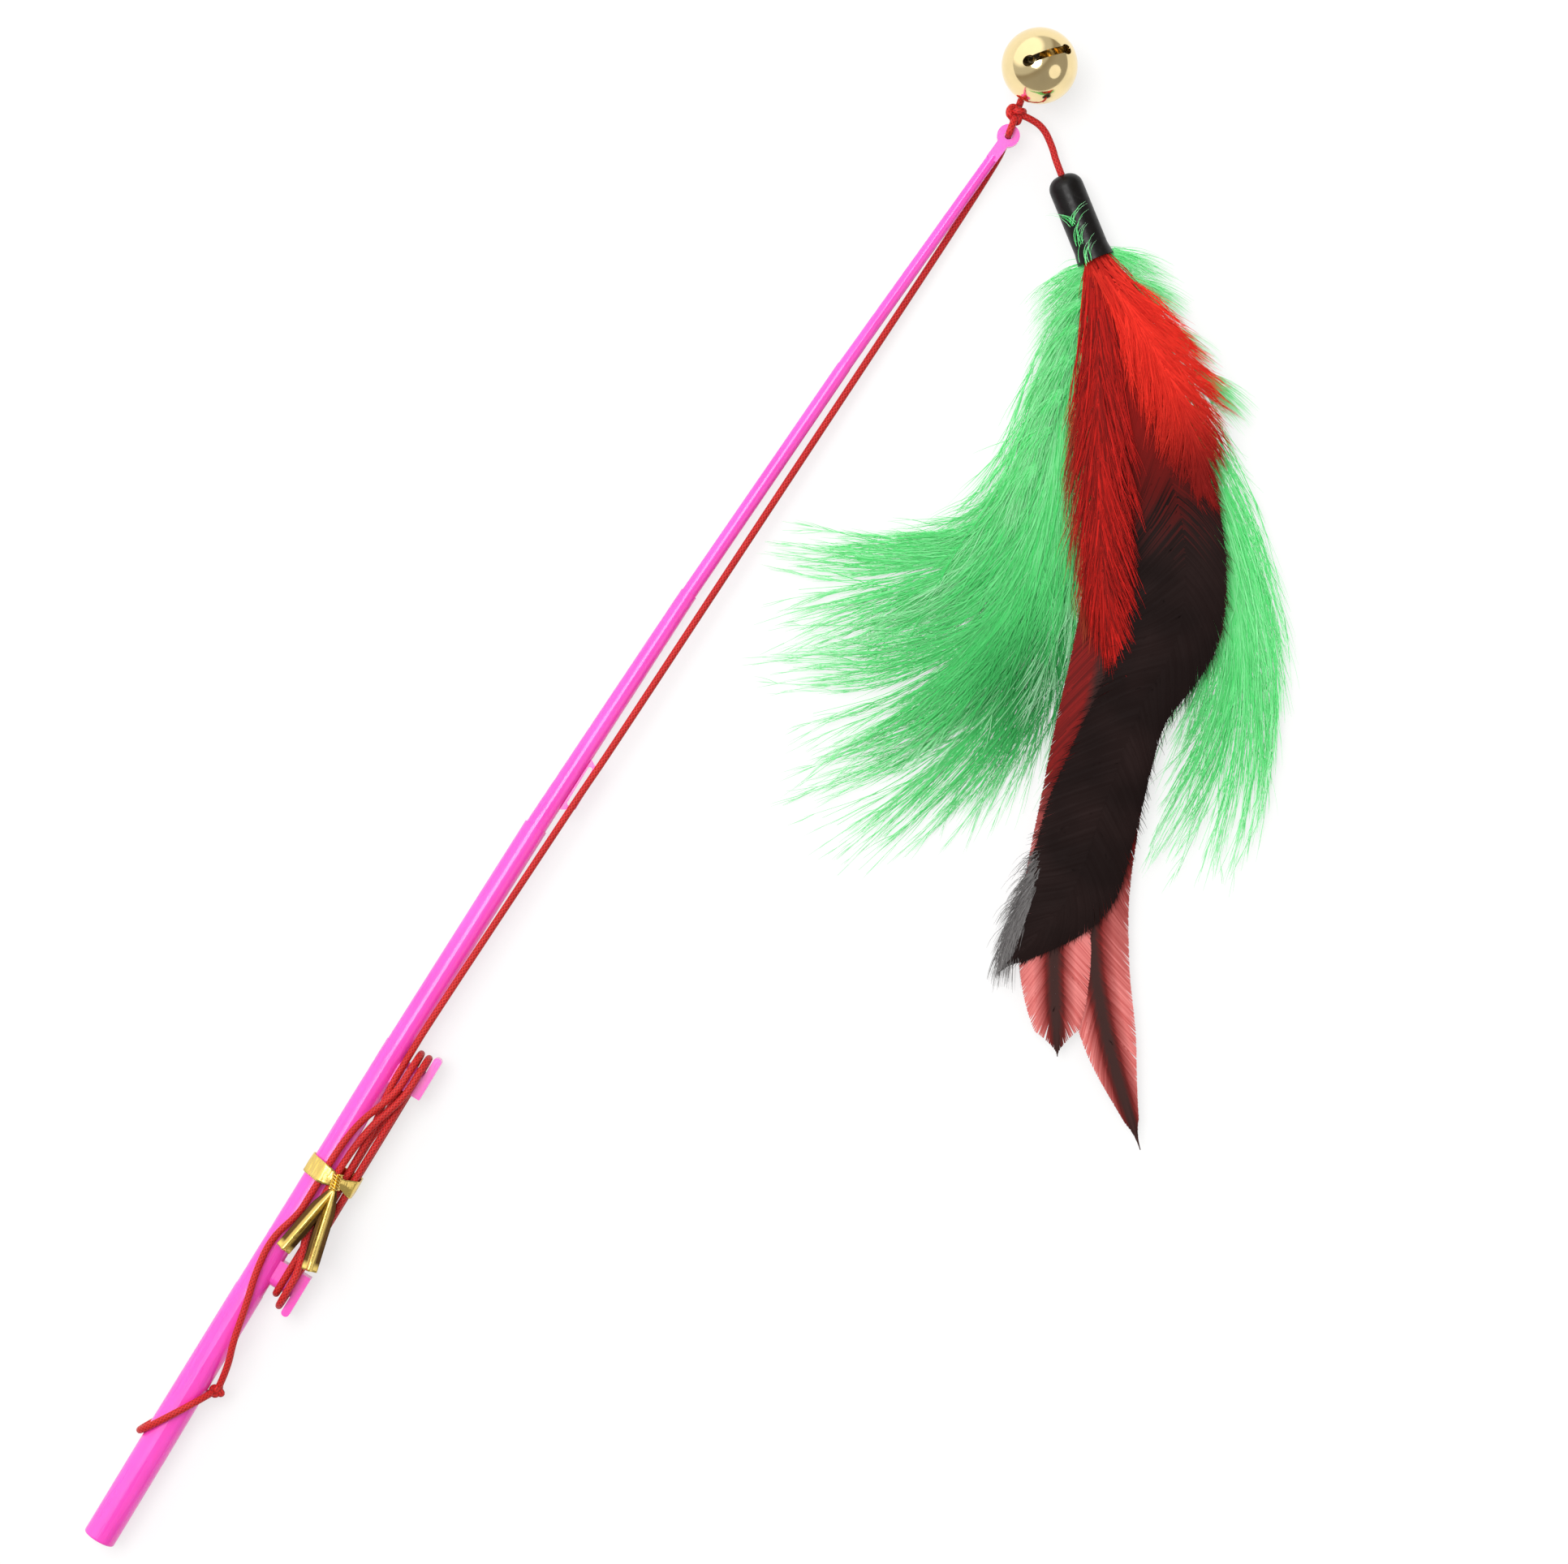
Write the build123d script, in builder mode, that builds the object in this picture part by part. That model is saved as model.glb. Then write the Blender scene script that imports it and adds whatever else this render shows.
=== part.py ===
from build123d import *
import os
from math import cos, dist, pi, radians, sin, sqrt, tan

# Cat teaser wand in millimetres, lying flat on a table.
# +Y runs along the rod from butt to tip, +X is the side of the hooks and the lure, +Z is up.
# The origin is the centre of the butt's end face.

# Rod, moulded in one piece with its hooks, line guide and tip eye
butt_diameter = 7.9
butt_round = 0.6
grip_length = 24.0
step_ends = [69.0, 137.0, 198.0, 264.0, 329.0, 390.0]
step_end_diameters = [7.3, 6.3, 5.8, 4.1, 3.4, 2.7]
shoulder_depths = [0.2, 0.3, 0.6, 0.4, 0.2]
bow_start = 110.0
bow_radius = 3408.0
eye_radius = 2.7
eye_thickness = 2.4
neck_length = 5.9
neck_root = 1.0
eye_approach = 1.0
eye_bend = 1.75
guide_place = 211.5
guide_length = 17.0
guide_slot_length = 10.5
guide_slot_width = 1.1
guide_slot_wall = 0.5
guide_rim = 1.4
guide_thickness = 1.2
guide_slack = 0.4

# Elastic cord
cord_diameter = 1.7
cord_clearance = 0.1
lane_gap = 0.42
bend_share = 0.45

# Hooks and the hank wound round them
hook_low = 74.5
hook_span = 58.3
post_thickness = 4.0
post_length = 4.5
bar_width = 2.0
bar_overhang = 6.4
bar_round = 0.9
bar_clearance = 0.35
lead_in_lane = 3.7
waist_place = 102.4
waist_length = 12.8
waist_lane = 0.9
waist_pitch = 2.75
hank_lead_in = 4.0
run_lead_in = 8.0

# Twist tie
tie_width = 4.8
tie_thickness = 0.4
tie_clearance = 0.15
tail_width = 3.6
knob_radius = 1.5
knob_length = 4.4
knob_reach = 1.0
knob_sink = 0.5
knob_direction = (0.35, -0.94, 0)
tie_tail_ends = [(2.0, 82.4), (9.9, 81.2)]

# Bell
bell_radius = 9.0
bell_wall = 0.5
bell_place = (9.9, 413.0)
bell_pole = (0.08, 0.26, 0.96)
bell_slot_direction = (0.64, 0.77, -0.26)
slot_half_angle = 33.0
slot_width = 1.7
slot_hole_diameter = 2.6
shank_wire = 1.1
shank_ring_radius = 2.2
shank_standoff = 1.1
shank_flange_radius = 3.6
shank_flange_thickness = 0.6
pellet_radius = 2.6
pellet_angle = 50.0
inside_clearance = 0.3

# Tip knot, lead and cap
body_gap = 0.3
knot_radius = 2.5
knot_lean = 12.0
bead_radius = 1.4
lead_start_angle = 18.0
lead_straight = 3.2
lead_arc = [(0.39, 0.0, 0.2), (0.78, 0.55, 0.7)]
cap_top = (27.6, 394.7)
cap_direction = (0.803, -0.596)
cap_radius = 4.15
cap_flare = 0.4
flare_length = 3.0
dome_round = 1.5
cap_length = 21.5
cap_wall = 0.9
cap_crown = 1.2
stop_knot_radius = 2.1

# Quills, glue and feathers
quill_width = 1.2
feather_thickness = 0.5
feather_gap = 0.15
quill_clearance = 0.3
glue_setback = 0.8
glue_cover = 0.4
glue_length = 5.4

# Feathers: each shaft's points along and across the cap's axis, measured from the cap's mouth,
# and the vane's half widths on its two sides at each point before the tip
green_plume_back_shaft = [(35.4, -20.8), (65.8, -37.8), (88.0, -59.9), (97.2, -85.5), (101.9, -112.3)]
green_plume_back_widths = [(9, 8), (12, 12), (14, 13), (11, 12)]
green_plume_upper_shaft = [(20.0, -17.6), (41.1, -32.1), (53.4, -47.9), (52.5, -70.4), (44.8, -98.4)]
green_plume_upper_widths = [(7, 7), (10, 9), (12, 9), (11, 7)]
green_plume_lower_shaft = [(25.9, -18.6), (50.8, -33.7), (71.2, -55.1), (76.6, -80.2), (73.9, -107.1)]
green_plume_lower_widths = [(8, 7), (12, 11), (14, 13), (12, 12)]
green_plume_right_shaft = [(35.2, 4.2), (70.2, 3.4), (102.3, -4.4), (125.7, -18.2), (142.4, -33.3)]
green_plume_right_widths = [(8, 9), (11, 12), (11, 13), (10, 12)]
red_tail_long_shaft = [(71.8, -18.0), (114.0, -42.1), (147.6, -61.3), (174.0, -67.5), (199.1, -69.9)]
red_tail_long_widths = [(8, 8), (8, 8), (9, 8), (7, 6)]
red_tail_short_shaft = [(70.0, -22.5), (112.7, -50.2), (144.3, -69.4), (171.3, -79.7)]
red_tail_short_widths = [(8, 8), (8, 8), (9, 8.5)]
red_hackle_left_shaft = [(23.5, -9.2), (50.1, -20.2), (75.8, -28.5), (99.2, -32.3)]
red_hackle_left_widths = [(6.5, 6.5), (9, 8), (7, 7)]
dark_feather_shaft = [
    (38.7, -2.4), (68.5, -5.7), (89.4, -15.4), (103.6, -31.6),
    (121.8, -48.2), (136.9, -62.2), (147.9, -85.0),
]
dark_feather_widths = [(8, 8), (9.5, 11.5), (10, 13), (6.5, 10.5), (9, 13), (10.5, 12)]
red_hackle_right_shaft = [(22.6, 4.1), (43.9, 5.2), (63.4, 2.1)]
red_hackle_right_widths = [(8, 7), (9, 8)]

# Cord tail, knot and loop on the handle
tail_sway = [(0.0, 5.0), (-2.6, 13.0), (-1.6, 22.0), (0.6, 30.0)]
tail_slide = [(0.39, 0.42, 0.04), (0.87, 0.73, 0.42)]
tail_end_height = 0.6
tail_knot_along = 44.6
tail_knot_radius = 1.9
loop_middle = 35.4
loop_slant = 8.6
loop_clearance = 0.2
loop_opening = 10.0
loop_runs = 10

# Sizes that follow from the ones above
cord_radius = cord_diameter / 2
lane_pitch = cord_diameter + lane_gap
inner_turn = post_thickness / 2 + cord_clearance + cord_radius
outer_turn = inner_turn + lane_pitch
near_lane = lead_in_lane + lane_pitch
far_lane = near_lane + lane_pitch
bar_place = far_lane + cord_radius + bar_clearance
hook_high = hook_low + hook_span
waist_top = waist_place + waist_length / 2
waist_bottom = waist_place - waist_length / 2
table = -(outer_turn + cord_radius + tie_clearance + tie_thickness)
feather_pitch = feather_thickness + feather_gap
cap_bore = cap_radius - cap_wall
lead_depth = cap_length - glue_setback - glue_length - quill_clearance
cap_height = table + cap_radius + cap_flare
eye_place = step_ends[-1] + neck_length

os.makedirs("parts", exist_ok=True)


def save(piece, label):
    """Name a finished piece and write it to its own file."""
    piece.part.label = label
    export_step(piece.part, f"parts/{label}.step")


def bow_reach(place):
    """Length of the bowed part up to a place along the rod."""
    return max(0.0, place - bow_start)


def rod_axis(place):
    """Sideways place of the rod's bowed axis."""
    return bow_reach(place) ** 2 / (2 * bow_radius)


def rod_plane(place):
    """Plane square to the rod's axis."""
    slope = bow_reach(place) / bow_radius
    return Plane(origin=(rod_axis(place), place, 0), x_dir=(0, 0, 1), z_dir=(slope, 1, 0))


def rod_radius(place):
    """Radius of the stepped, tapering rod at a place along it."""
    start, diameter = grip_length, butt_diameter
    for step, (end, end_diameter) in enumerate(zip(step_ends, step_end_diameters)):
        if place <= end:
            share = max(0.0, place - start) / (end - start)
            return (diameter + share * (end_diameter - diameter)) / 2
        start = end
        diameter = end_diameter - shoulder_depths[step] if step < len(shoulder_depths) else end_diameter
    return diameter / 2


def bend_radii(points):
    """Largest bend that the two runs beside each corner leave room for."""
    radii = []
    for before, corner, after in zip(points, points[1:], points[2:]):
        arriving = Vector(*corner) - Vector(*before)
        leaving = Vector(*after) - Vector(*corner)
        half_turn = radians(arriving.get_angle(leaving)) / 2
        radii.append(bend_share * min(arriving.length, leaving.length) / tan(half_turn))
    return radii


def between(start, end, shares):
    """Point between two others, with its own share of the way along each axis."""
    return tuple(a + share * (b - a) for a, b, share in zip(start, end, shares))


def cord_tube(label, points):
    """Round cord along straight runs joined by tangent arcs."""
    radii = bend_radii(points)
    with BuildPart() as tube:
        with BuildLine() as route:
            FilletPolyline(*points, radius=radii)
        with BuildSketch(route.line ^ 0):
            Circle(cord_radius)
        sweep(path=route.line)
    length = route.wire().length
    share = tube.part.volume / (pi * cord_radius**2 * length)
    print(label, "length", round(length, 1), "bend radii", [round(r, 1) for r in radii],
          "volume against section times length", round(share, 4))
    return tube


# Rod: a straight grip, then tapering steps along the bow
with BuildPart() as rod:
    with BuildSketch(rod_plane(0)):
        Circle(butt_diameter / 2)
    extrude(amount=grip_length)
    step_start = grip_length
    start_radius = butt_diameter / 2
    for step, (end, end_diameter) in enumerate(zip(step_ends, step_end_diameters)):
        with BuildSketch(rod_plane(step_start)):
            Circle(start_radius)
        with BuildSketch(rod_plane(end)):
            Circle(end_diameter / 2)
        loft()
        step_start = end
        if step < len(shoulder_depths):
            start_radius = (end_diameter - shoulder_depths[step]) / 2
    fillet(rod.edges().sort_by(Axis.Y)[0], butt_round)

    # Tip eye: a neck and a flat ring with a hole for the cord
    tip_plane = Plane(origin=(rod_axis(eye_place), eye_place, 0), x_dir=rod_plane(eye_place).z_dir)
    with BuildSketch(tip_plane.offset(-eye_thickness / 2)):
        Circle(eye_radius)
        with Locations((-neck_length / 2 - neck_root / 2, 0)):
            Rectangle(neck_length + neck_root, step_end_diameters[-1])
    extrude(amount=eye_thickness)
    with BuildSketch(tip_plane.offset(-eye_thickness)):
        Circle(cord_radius + cord_clearance)
    extrude(amount=2 * eye_thickness, mode=Mode.SUBTRACT)

    # Line guide: a flat lug with a slot, whose rim the cord lies on
    guide_axis = rod_axis(guide_place)
    slot_place = guide_axis + rod_radius(guide_place) + guide_slot_wall + guide_slot_width / 2
    guide_reach = slot_place + guide_slot_width / 2 + guide_rim
    with BuildSketch(Plane.XY.offset(-guide_thickness / 2)):
        with BuildLine():
            Polyline(
                (guide_axis, guide_place - guide_length / 2),
                (guide_reach, guide_place - guide_slot_length / 2),
                (guide_reach, guide_place + guide_slot_length / 2),
                (guide_axis, guide_place + guide_length / 2),
                close=True,
            )
        make_face()
        with Locations((slot_place, guide_place)):
            SlotOverall(guide_slot_length, guide_slot_width, rotation=90, mode=Mode.SUBTRACT)
    extrude(amount=guide_thickness)

    # Hooks: a round-ended post with a bar that keeps the cord on it
    for turn_place, outward in ((hook_high, 1), (hook_low, -1)):
        with BuildSketch(Plane.YZ):
            with Locations((turn_place, 0)):
                Circle(post_thickness / 2)
            with Locations((turn_place - outward * post_length / 2, 0)):
                Rectangle(post_length, post_thickness)
        extrude(amount=bar_place + bar_width)
        bar_length = bar_overhang + post_length
        bar_middle = turn_place + outward * (bar_length / 2 - post_length)
        with BuildSketch(Plane.XY.offset(-post_thickness / 2)):
            with Locations((bar_place + bar_width / 2, bar_middle)):
                RectangleRounded(bar_width, bar_length, bar_round)
        extrude(amount=post_thickness)
save(rod, "rod")


def parallel_bend(start, end):
    """Two arcs that shift a strand sideways and leave it parallel to the rod."""
    start, end = Vector(*start), Vector(*end)
    along = end.Y - start.Y
    sideways = Vector(end.X - start.X, 0, end.Z - start.Z)
    shift = sideways.length
    radius = (along**2 + shift**2) / (4 * shift)
    quarter = sqrt(1 - (along / (2 * radius)) ** 2)
    half_sine = sqrt((1 - quarter) / 2)
    half_cosine = sqrt((1 + quarter) / 2)
    direction = Vector(0, 1 if along > 0 else -1, 0)
    lift = sideways.normalized()
    bow = direction * (radius * half_sine) + lift * (radius * (1 - half_cosine))
    middle = (start + end) * 0.5
    ThreePointArc(start, start + bow, middle)
    ThreePointArc(middle, end - bow, end)


def strand(*points):
    """Strand of the hank, straight where it keeps its lane."""
    for start, end in zip(points, points[1:]):
        if start[0] == end[0] and start[2] == end[2]:
            Line(start, end)
        else:
            parallel_bend(start, end)


def half_turn(lane, radius, place, outward, downward):
    """Half turn round a hook's post."""
    top, low = (lane, place, radius), (lane, place, -radius)
    side = (lane, place + outward * radius, 0)
    if downward:
        ThreePointArc(top, side, low)
    else:
        ThreePointArc(low, side, top)


def least_self_gap(path, samples=900, skip=14):
    """Least space between strands of a wound cord, measured on points of its path."""
    points = [tuple(path @ (i / samples)) for i in range(samples + 1)]
    least = min(dist(point, other) for i, point in enumerate(points) for other in points[i + skip:])
    return least - cord_diameter


# Hank: two lanes in an inner layer, then back over them in an outer layer
first_third = hook_low + hook_span / 3
second_third = hook_low + 2 * hook_span / 3
second_waist_lane = waist_lane + waist_pitch
with BuildPart() as cord_hank:
    with BuildLine() as hank_path:
        strand(
            (lead_in_lane, hook_high + hank_lead_in, inner_turn),
            (lead_in_lane, hook_high, inner_turn),
            (near_lane, waist_top, inner_turn),
            (near_lane, hook_low, inner_turn),
        )
        half_turn(near_lane, inner_turn, hook_low, -1, True)
        strand(
            (near_lane, hook_low, -inner_turn),
            (near_lane, second_third, -inner_turn),
            (far_lane, hook_high, -inner_turn),
        )
        half_turn(far_lane, inner_turn, hook_high, 1, False)
        strand((far_lane, hook_high, inner_turn), (far_lane, hook_low, inner_turn))
        half_turn(far_lane, inner_turn, hook_low, -1, True)
        strand(
            (far_lane, hook_low, -inner_turn),
            (far_lane, first_third, -inner_turn),
            (far_lane, second_third, -outer_turn),
            (far_lane, hook_high, -outer_turn),
        )
        half_turn(far_lane, outer_turn, hook_high, 1, False)
        strand(
            (far_lane, hook_high, outer_turn),
            (second_waist_lane, waist_top, outer_turn),
            (second_waist_lane, waist_bottom, outer_turn),
            (far_lane, hook_low, outer_turn),
        )
        half_turn(far_lane, outer_turn, hook_low, -1, True)
        strand(
            (far_lane, hook_low, -outer_turn),
            (near_lane, first_third, -outer_turn),
            (near_lane, hook_high, -outer_turn),
        )
        half_turn(near_lane, outer_turn, hook_high, 1, False)
        strand(
            (near_lane, hook_high, outer_turn),
            (waist_lane, waist_top, outer_turn),
            (waist_lane, waist_bottom, outer_turn),
        )
    with BuildSketch(hank_path.line ^ 0):
        Circle(cord_radius)
    sweep(path=hank_path.line)
save(cord_hank, "cord_hank")
hank_wire = hank_path.wire()
print("hank length", round(hank_wire.length, 1), "least gap", round(least_self_gap(hank_wire), 3))

# Cord pulled tight from the hank over the guide to the tip eye, and up through its hole
eye_axis = rod_axis(eye_place)
guide_lift = guide_thickness / 2 + cord_clearance + cord_radius
run_low = -(eye_thickness / 2 + eye_bend + cord_clearance)
run_points = [
    (lead_in_lane, hook_high + hank_lead_in, inner_turn),
    (lead_in_lane, hook_high + hank_lead_in + run_lead_in, inner_turn),
    (guide_reach - guide_rim / 2, guide_place, guide_lift + guide_slack),
    (eye_axis + eye_approach, eye_place - 2 * eye_bend / bend_share, run_low),
    (eye_axis, eye_place, run_low),
    (eye_axis, eye_place, eye_thickness / 2 + cord_clearance),
]
cord_run = cord_tube("cord_run", run_points)
save(cord_run, "cord_run")

# Cord from under the tie, over the rod and down to the knot beside the handle
tail_knot_side = rod_radius(tail_knot_along) + cord_clearance + tail_knot_radius
tail_points = [(waist_lane, waist_bottom, outer_turn)]
tail_points += [(waist_lane + across, waist_bottom - along, outer_turn) for across, along in tail_sway]
tail_end = (tail_knot_side, tail_knot_along + tail_knot_radius / 2, tail_end_height)
tail_points += [between(tail_points[-1], tail_end, shares) for shares in tail_slide]
tail_points.append(tail_end)
cord_tail = cord_tube("cord_tail", tail_points)
save(cord_tail, "cord_tail")

# Slack loop round the handle, slanting along it, with both ends in the knot
loop_turn = (360 - 2 * loop_opening) / loop_runs
loop_radius = (butt_diameter / 2 + cord_radius + loop_clearance) / cos(radians(loop_turn / 2))
loop_points = []
for corner in range(loop_runs + 1):
    angle = radians(loop_opening + corner * loop_turn)
    place = loop_middle + loop_slant * cos(angle)
    loop_points.append((loop_radius * cos(angle), place, loop_radius * sin(angle)))
handle_loop = cord_tube("handle_loop", loop_points)
save(handle_loop, "handle_loop")

with BuildPart() as tail_knot:
    with Locations((tail_knot_side, tail_knot_along, 0)):
        Sphere(tail_knot_radius)
    add(cord_tail.part, mode=Mode.SUBTRACT)
    add(handle_loop.part, mode=Mode.SUBTRACT)
save(tail_knot, "tail_knot")


# Twist tie: a band round rod and hank, a twisted knob on top and two flat tails
def bundle_outline(plane, margin):
    """Outline of a band pulled tight round the rod and the hank's outer strands, with a margin."""
    circles = [(Vector(rod_axis(waist_place), 0), rod_radius(waist_place) + margin)]
    strands = [
        (near_lane, -outer_turn),
        (far_lane, -outer_turn),
        (far_lane, inner_turn),
        (second_waist_lane, outer_turn),
        (waist_lane, outer_turn),
    ]
    circles += [(Vector(*place), cord_radius + margin) for place in strands]
    following = circles[1:] + circles[:1]
    normals = []
    for (centre, radius), (next_centre, next_radius) in zip(circles, following):
        way = next_centre - centre
        lean = (radius - next_radius) / way.length
        forward = way.normalized()
        normals.append(forward * lean + Vector(forward.Y, -forward.X) * sqrt(1 - lean**2))
    with BuildSketch(plane) as outline:
        with BuildLine():
            for i, ((centre, radius), (next_centre, next_radius)) in enumerate(zip(circles, following)):
                arriving, leaving = normals[i - 1], normals[i]
                middle = (arriving + leaving).normalized()
                ThreePointArc(*[centre + normal * radius for normal in (arriving, middle, leaving)])
                Line(centre + leaving * radius, next_centre + leaving * next_radius)
        make_face()
    return outline.sketch


with BuildPart() as twist_tie:
    band_plane = Plane.XZ.offset(-(waist_place + tie_width / 2))
    extrude(bundle_outline(band_plane, tie_clearance + tie_thickness), amount=tie_width)
    extrude(bundle_outline(band_plane, tie_clearance), amount=tie_width, mode=Mode.SUBTRACT)
    knob_height = outer_turn + cord_radius + tie_clearance + tie_thickness + knob_radius - knob_sink
    knob_centre = (second_waist_lane + knob_reach, waist_place, knob_height)
    with BuildSketch(Plane(origin=knob_centre, z_dir=knob_direction)):
        Circle(knob_radius)
    extrude(amount=knob_length / 2, both=True)
    for tail_end in tie_tail_ends:
        tail_run = Vector(tail_end[0] - knob_centre[0], tail_end[1] - knob_centre[1])
        tail_origin = (knob_centre[0], knob_centre[1], knob_height - tie_thickness / 2)
        with BuildSketch(Plane(origin=tail_origin, x_dir=tail_run, z_dir=(0, 0, 1))):
            with Locations((tail_run.length / 2, 0)):
                Rectangle(tail_run.length, tail_width)
        extrude(amount=tie_thickness)
save(twist_tie, "twist_tie")

# Tip knot beyond the eye
knot_angle = radians(90 + knot_lean)
knot_reach = eye_radius + body_gap + knot_radius
knot_place = Vector(eye_axis + knot_reach * cos(knot_angle), eye_place + knot_reach * sin(knot_angle), 0)
with BuildPart() as tip_knot:
    with Locations(knot_place):
        Sphere(knot_radius)
save(tip_knot, "tip_knot")

# Bell: its own plane has the sound slot at the pole and the wire loop opposite
pole = Vector(*bell_pole).normalized()
shank_reach = bell_radius + shank_standoff
ring_place_flat = Vector(*bell_place) - Vector(pole.X, pole.Y) * shank_reach
tie_way = Vector(ring_place_flat.X - knot_place.X, ring_place_flat.Y - knot_place.Y, 0)
ring_normal = (tie_way - pole * tie_way.dot(pole)).normalized()
ring_drop = shank_ring_radius * sqrt(1 - ring_normal.Z**2) + shank_wire / 2
bell_centre = Vector(*bell_place, table + ring_drop + shank_reach * pole.Z)
bell_plane = Plane(origin=bell_centre, x_dir=bell_slot_direction, z_dir=pole)
ring_place = bell_centre - pole * shank_reach
ring_plane = Plane(origin=ring_place, x_dir=pole, z_dir=ring_normal)


def half_shell(side):
    """Half of the bell's shell, on the pole's side or opposite."""
    with BuildPart() as shell:
        with Locations(Location(bell_plane)):
            Sphere(bell_radius)
            Sphere(bell_radius - bell_wall, mode=Mode.SUBTRACT)
        split(bisect_by=bell_plane, keep=side)
    return shell.part


with BuildPart() as bell_skirt:
    add(half_shell(Keep.TOP))
    slot_reach = bell_radius * sin(radians(slot_half_angle))
    with BuildSketch(bell_plane):
        Rectangle(2 * slot_reach, slot_width)
        with Locations((slot_reach, 0), (-slot_reach, 0)):
            Circle(slot_hole_diameter / 2)
    extrude(amount=2 * bell_radius, mode=Mode.SUBTRACT)
save(bell_skirt, "bell_skirt")

with BuildPart() as bell_crown:
    add(half_shell(Keep.BOTTOM))
    leg_reach = shank_ring_radius + shank_wire / 2 + cord_clearance
    with BuildSketch(Plane(origin=bell_centre, x_dir=ring_plane.y_dir, z_dir=-pole)):
        SlotOverall(2 * leg_reach, shank_wire + 2 * cord_clearance)
    extrude(amount=2 * bell_radius, mode=Mode.SUBTRACT)
save(bell_crown, "bell_crown")

with BuildPart() as bell_shank:
    with BuildSketch(Plane(origin=ring_place, x_dir=ring_plane.x_dir, z_dir=ring_plane.y_dir)):
        with Locations((shank_ring_radius, 0)):
            Circle(shank_wire / 2)
    revolve(axis=Axis(ring_place, ring_normal))
    flange_depth = sqrt((bell_radius - bell_wall) ** 2 - shank_flange_radius**2) - cord_clearance
    with BuildSketch(Plane(origin=bell_centre - pole * flange_depth, z_dir=pole)):
        Circle(shank_flange_radius)
    extrude(amount=shank_flange_thickness)
save(bell_shank, "bell_shank")

pellet_reach = bell_radius - bell_wall - inside_clearance - pellet_radius
pellet_swing = pellet_reach * sin(radians(pellet_angle))
pellet_drop = pellet_reach * cos(radians(pellet_angle))
with BuildPart() as bell_pellet:
    with Locations(bell_centre + bell_plane.y_dir * pellet_swing - pole * pellet_drop):
        Sphere(pellet_radius)
save(bell_pellet, "bell_pellet")

# Bit of cord from the tip knot through the bell's wire loop, ending in a bead
tie_direction = (ring_place - knot_place).normalized()
tie_start = knot_place + tie_direction * (knot_radius + body_gap)
tie_length = (ring_place - tie_start).length + bead_radius + shank_wire
with BuildPart() as bell_tie:
    with BuildSketch(Plane(origin=tie_start, z_dir=tie_direction)):
        Circle(cord_radius)
    extrude(amount=tie_length)
    with Locations(tie_start + tie_direction * tie_length):
        Sphere(bead_radius)
save(bell_tie, "bell_tie")

# Lead from the knot into the cap, with the stop knot that keeps the cap on
cap_way = Vector(*cap_direction).normalized()
cap_origin = Vector(*cap_top, cap_height)
lead_angle = radians(lead_start_angle)
lead_offset = knot_radius + body_gap
lead_start = knot_place + Vector(cos(lead_angle), sin(lead_angle), 0) * lead_offset
lead_entry = cap_origin - cap_way * lead_straight
lead_points = [tuple(lead_start)]
lead_points += [between(lead_start, lead_entry, shares) for shares in lead_arc]
lead_points += [tuple(lead_entry), tuple(cap_origin + cap_way * lead_depth)]
cord_lead = cord_tube("cord_lead", lead_points)
save(cord_lead, "cord_lead")

with BuildPart() as stop_knot:
    with Locations(cap_origin + cap_way * (cap_crown + body_gap + stop_knot_radius)):
        Sphere(stop_knot_radius)
    add(cord_lead.part, mode=Mode.SUBTRACT)
save(stop_knot, "stop_knot")

# Cap: a dipped sleeve with a domed crown, a hole for the cord and a flared mouth
cap_plane = Plane(origin=cap_origin, x_dir=cap_way, z_dir=(0, 0, 1))
with BuildPart() as cap:
    cord_hole = cord_radius + cord_clearance
    dome = cap_radius - cord_hole
    with BuildSketch(cap_plane):
        with BuildLine():
            Line((0, cord_hole), (cap_crown, cord_hole))
            Line((cap_crown, cord_hole), (cap_crown, cord_hole + dome - cap_crown - dome_round))
            Line((cap_crown, cord_hole + dome - cap_crown - dome_round), (cap_crown + dome_round, cap_bore))
            Line((cap_crown + dome_round, cap_bore), (cap_length, cap_bore))
            Line((cap_length, cap_bore), (cap_length, cap_radius + cap_flare))
            Line((cap_length, cap_radius + cap_flare), (cap_length - flare_length, cap_radius))
            Line((cap_length - flare_length, cap_radius), (dome, cap_radius))
            RadiusArc((dome, cap_radius), (0, cord_hole), -dome)
        make_face()
    revolve(axis=Axis(cap_origin, cap_way))
save(cap, "cap")

# Feathers: thin vanes in layers, each on its own quill, from the back to the front
feathers = [
    ("green_plume_back", green_plume_back_shaft, green_plume_back_widths),
    ("green_plume_upper", green_plume_upper_shaft, green_plume_upper_widths),
    ("green_plume_lower", green_plume_lower_shaft, green_plume_lower_widths),
    ("green_plume_right", green_plume_right_shaft, green_plume_right_widths),
    ("red_tail_long", red_tail_long_shaft, red_tail_long_widths),
    ("red_tail_short", red_tail_short_shaft, red_tail_short_widths),
    ("red_hackle_left", red_hackle_left_shaft, red_hackle_left_widths),
    ("dark_feather", dark_feather_shaft, dark_feather_widths),
    ("red_hackle_right", red_hackle_right_shaft, red_hackle_right_widths),
]


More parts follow.
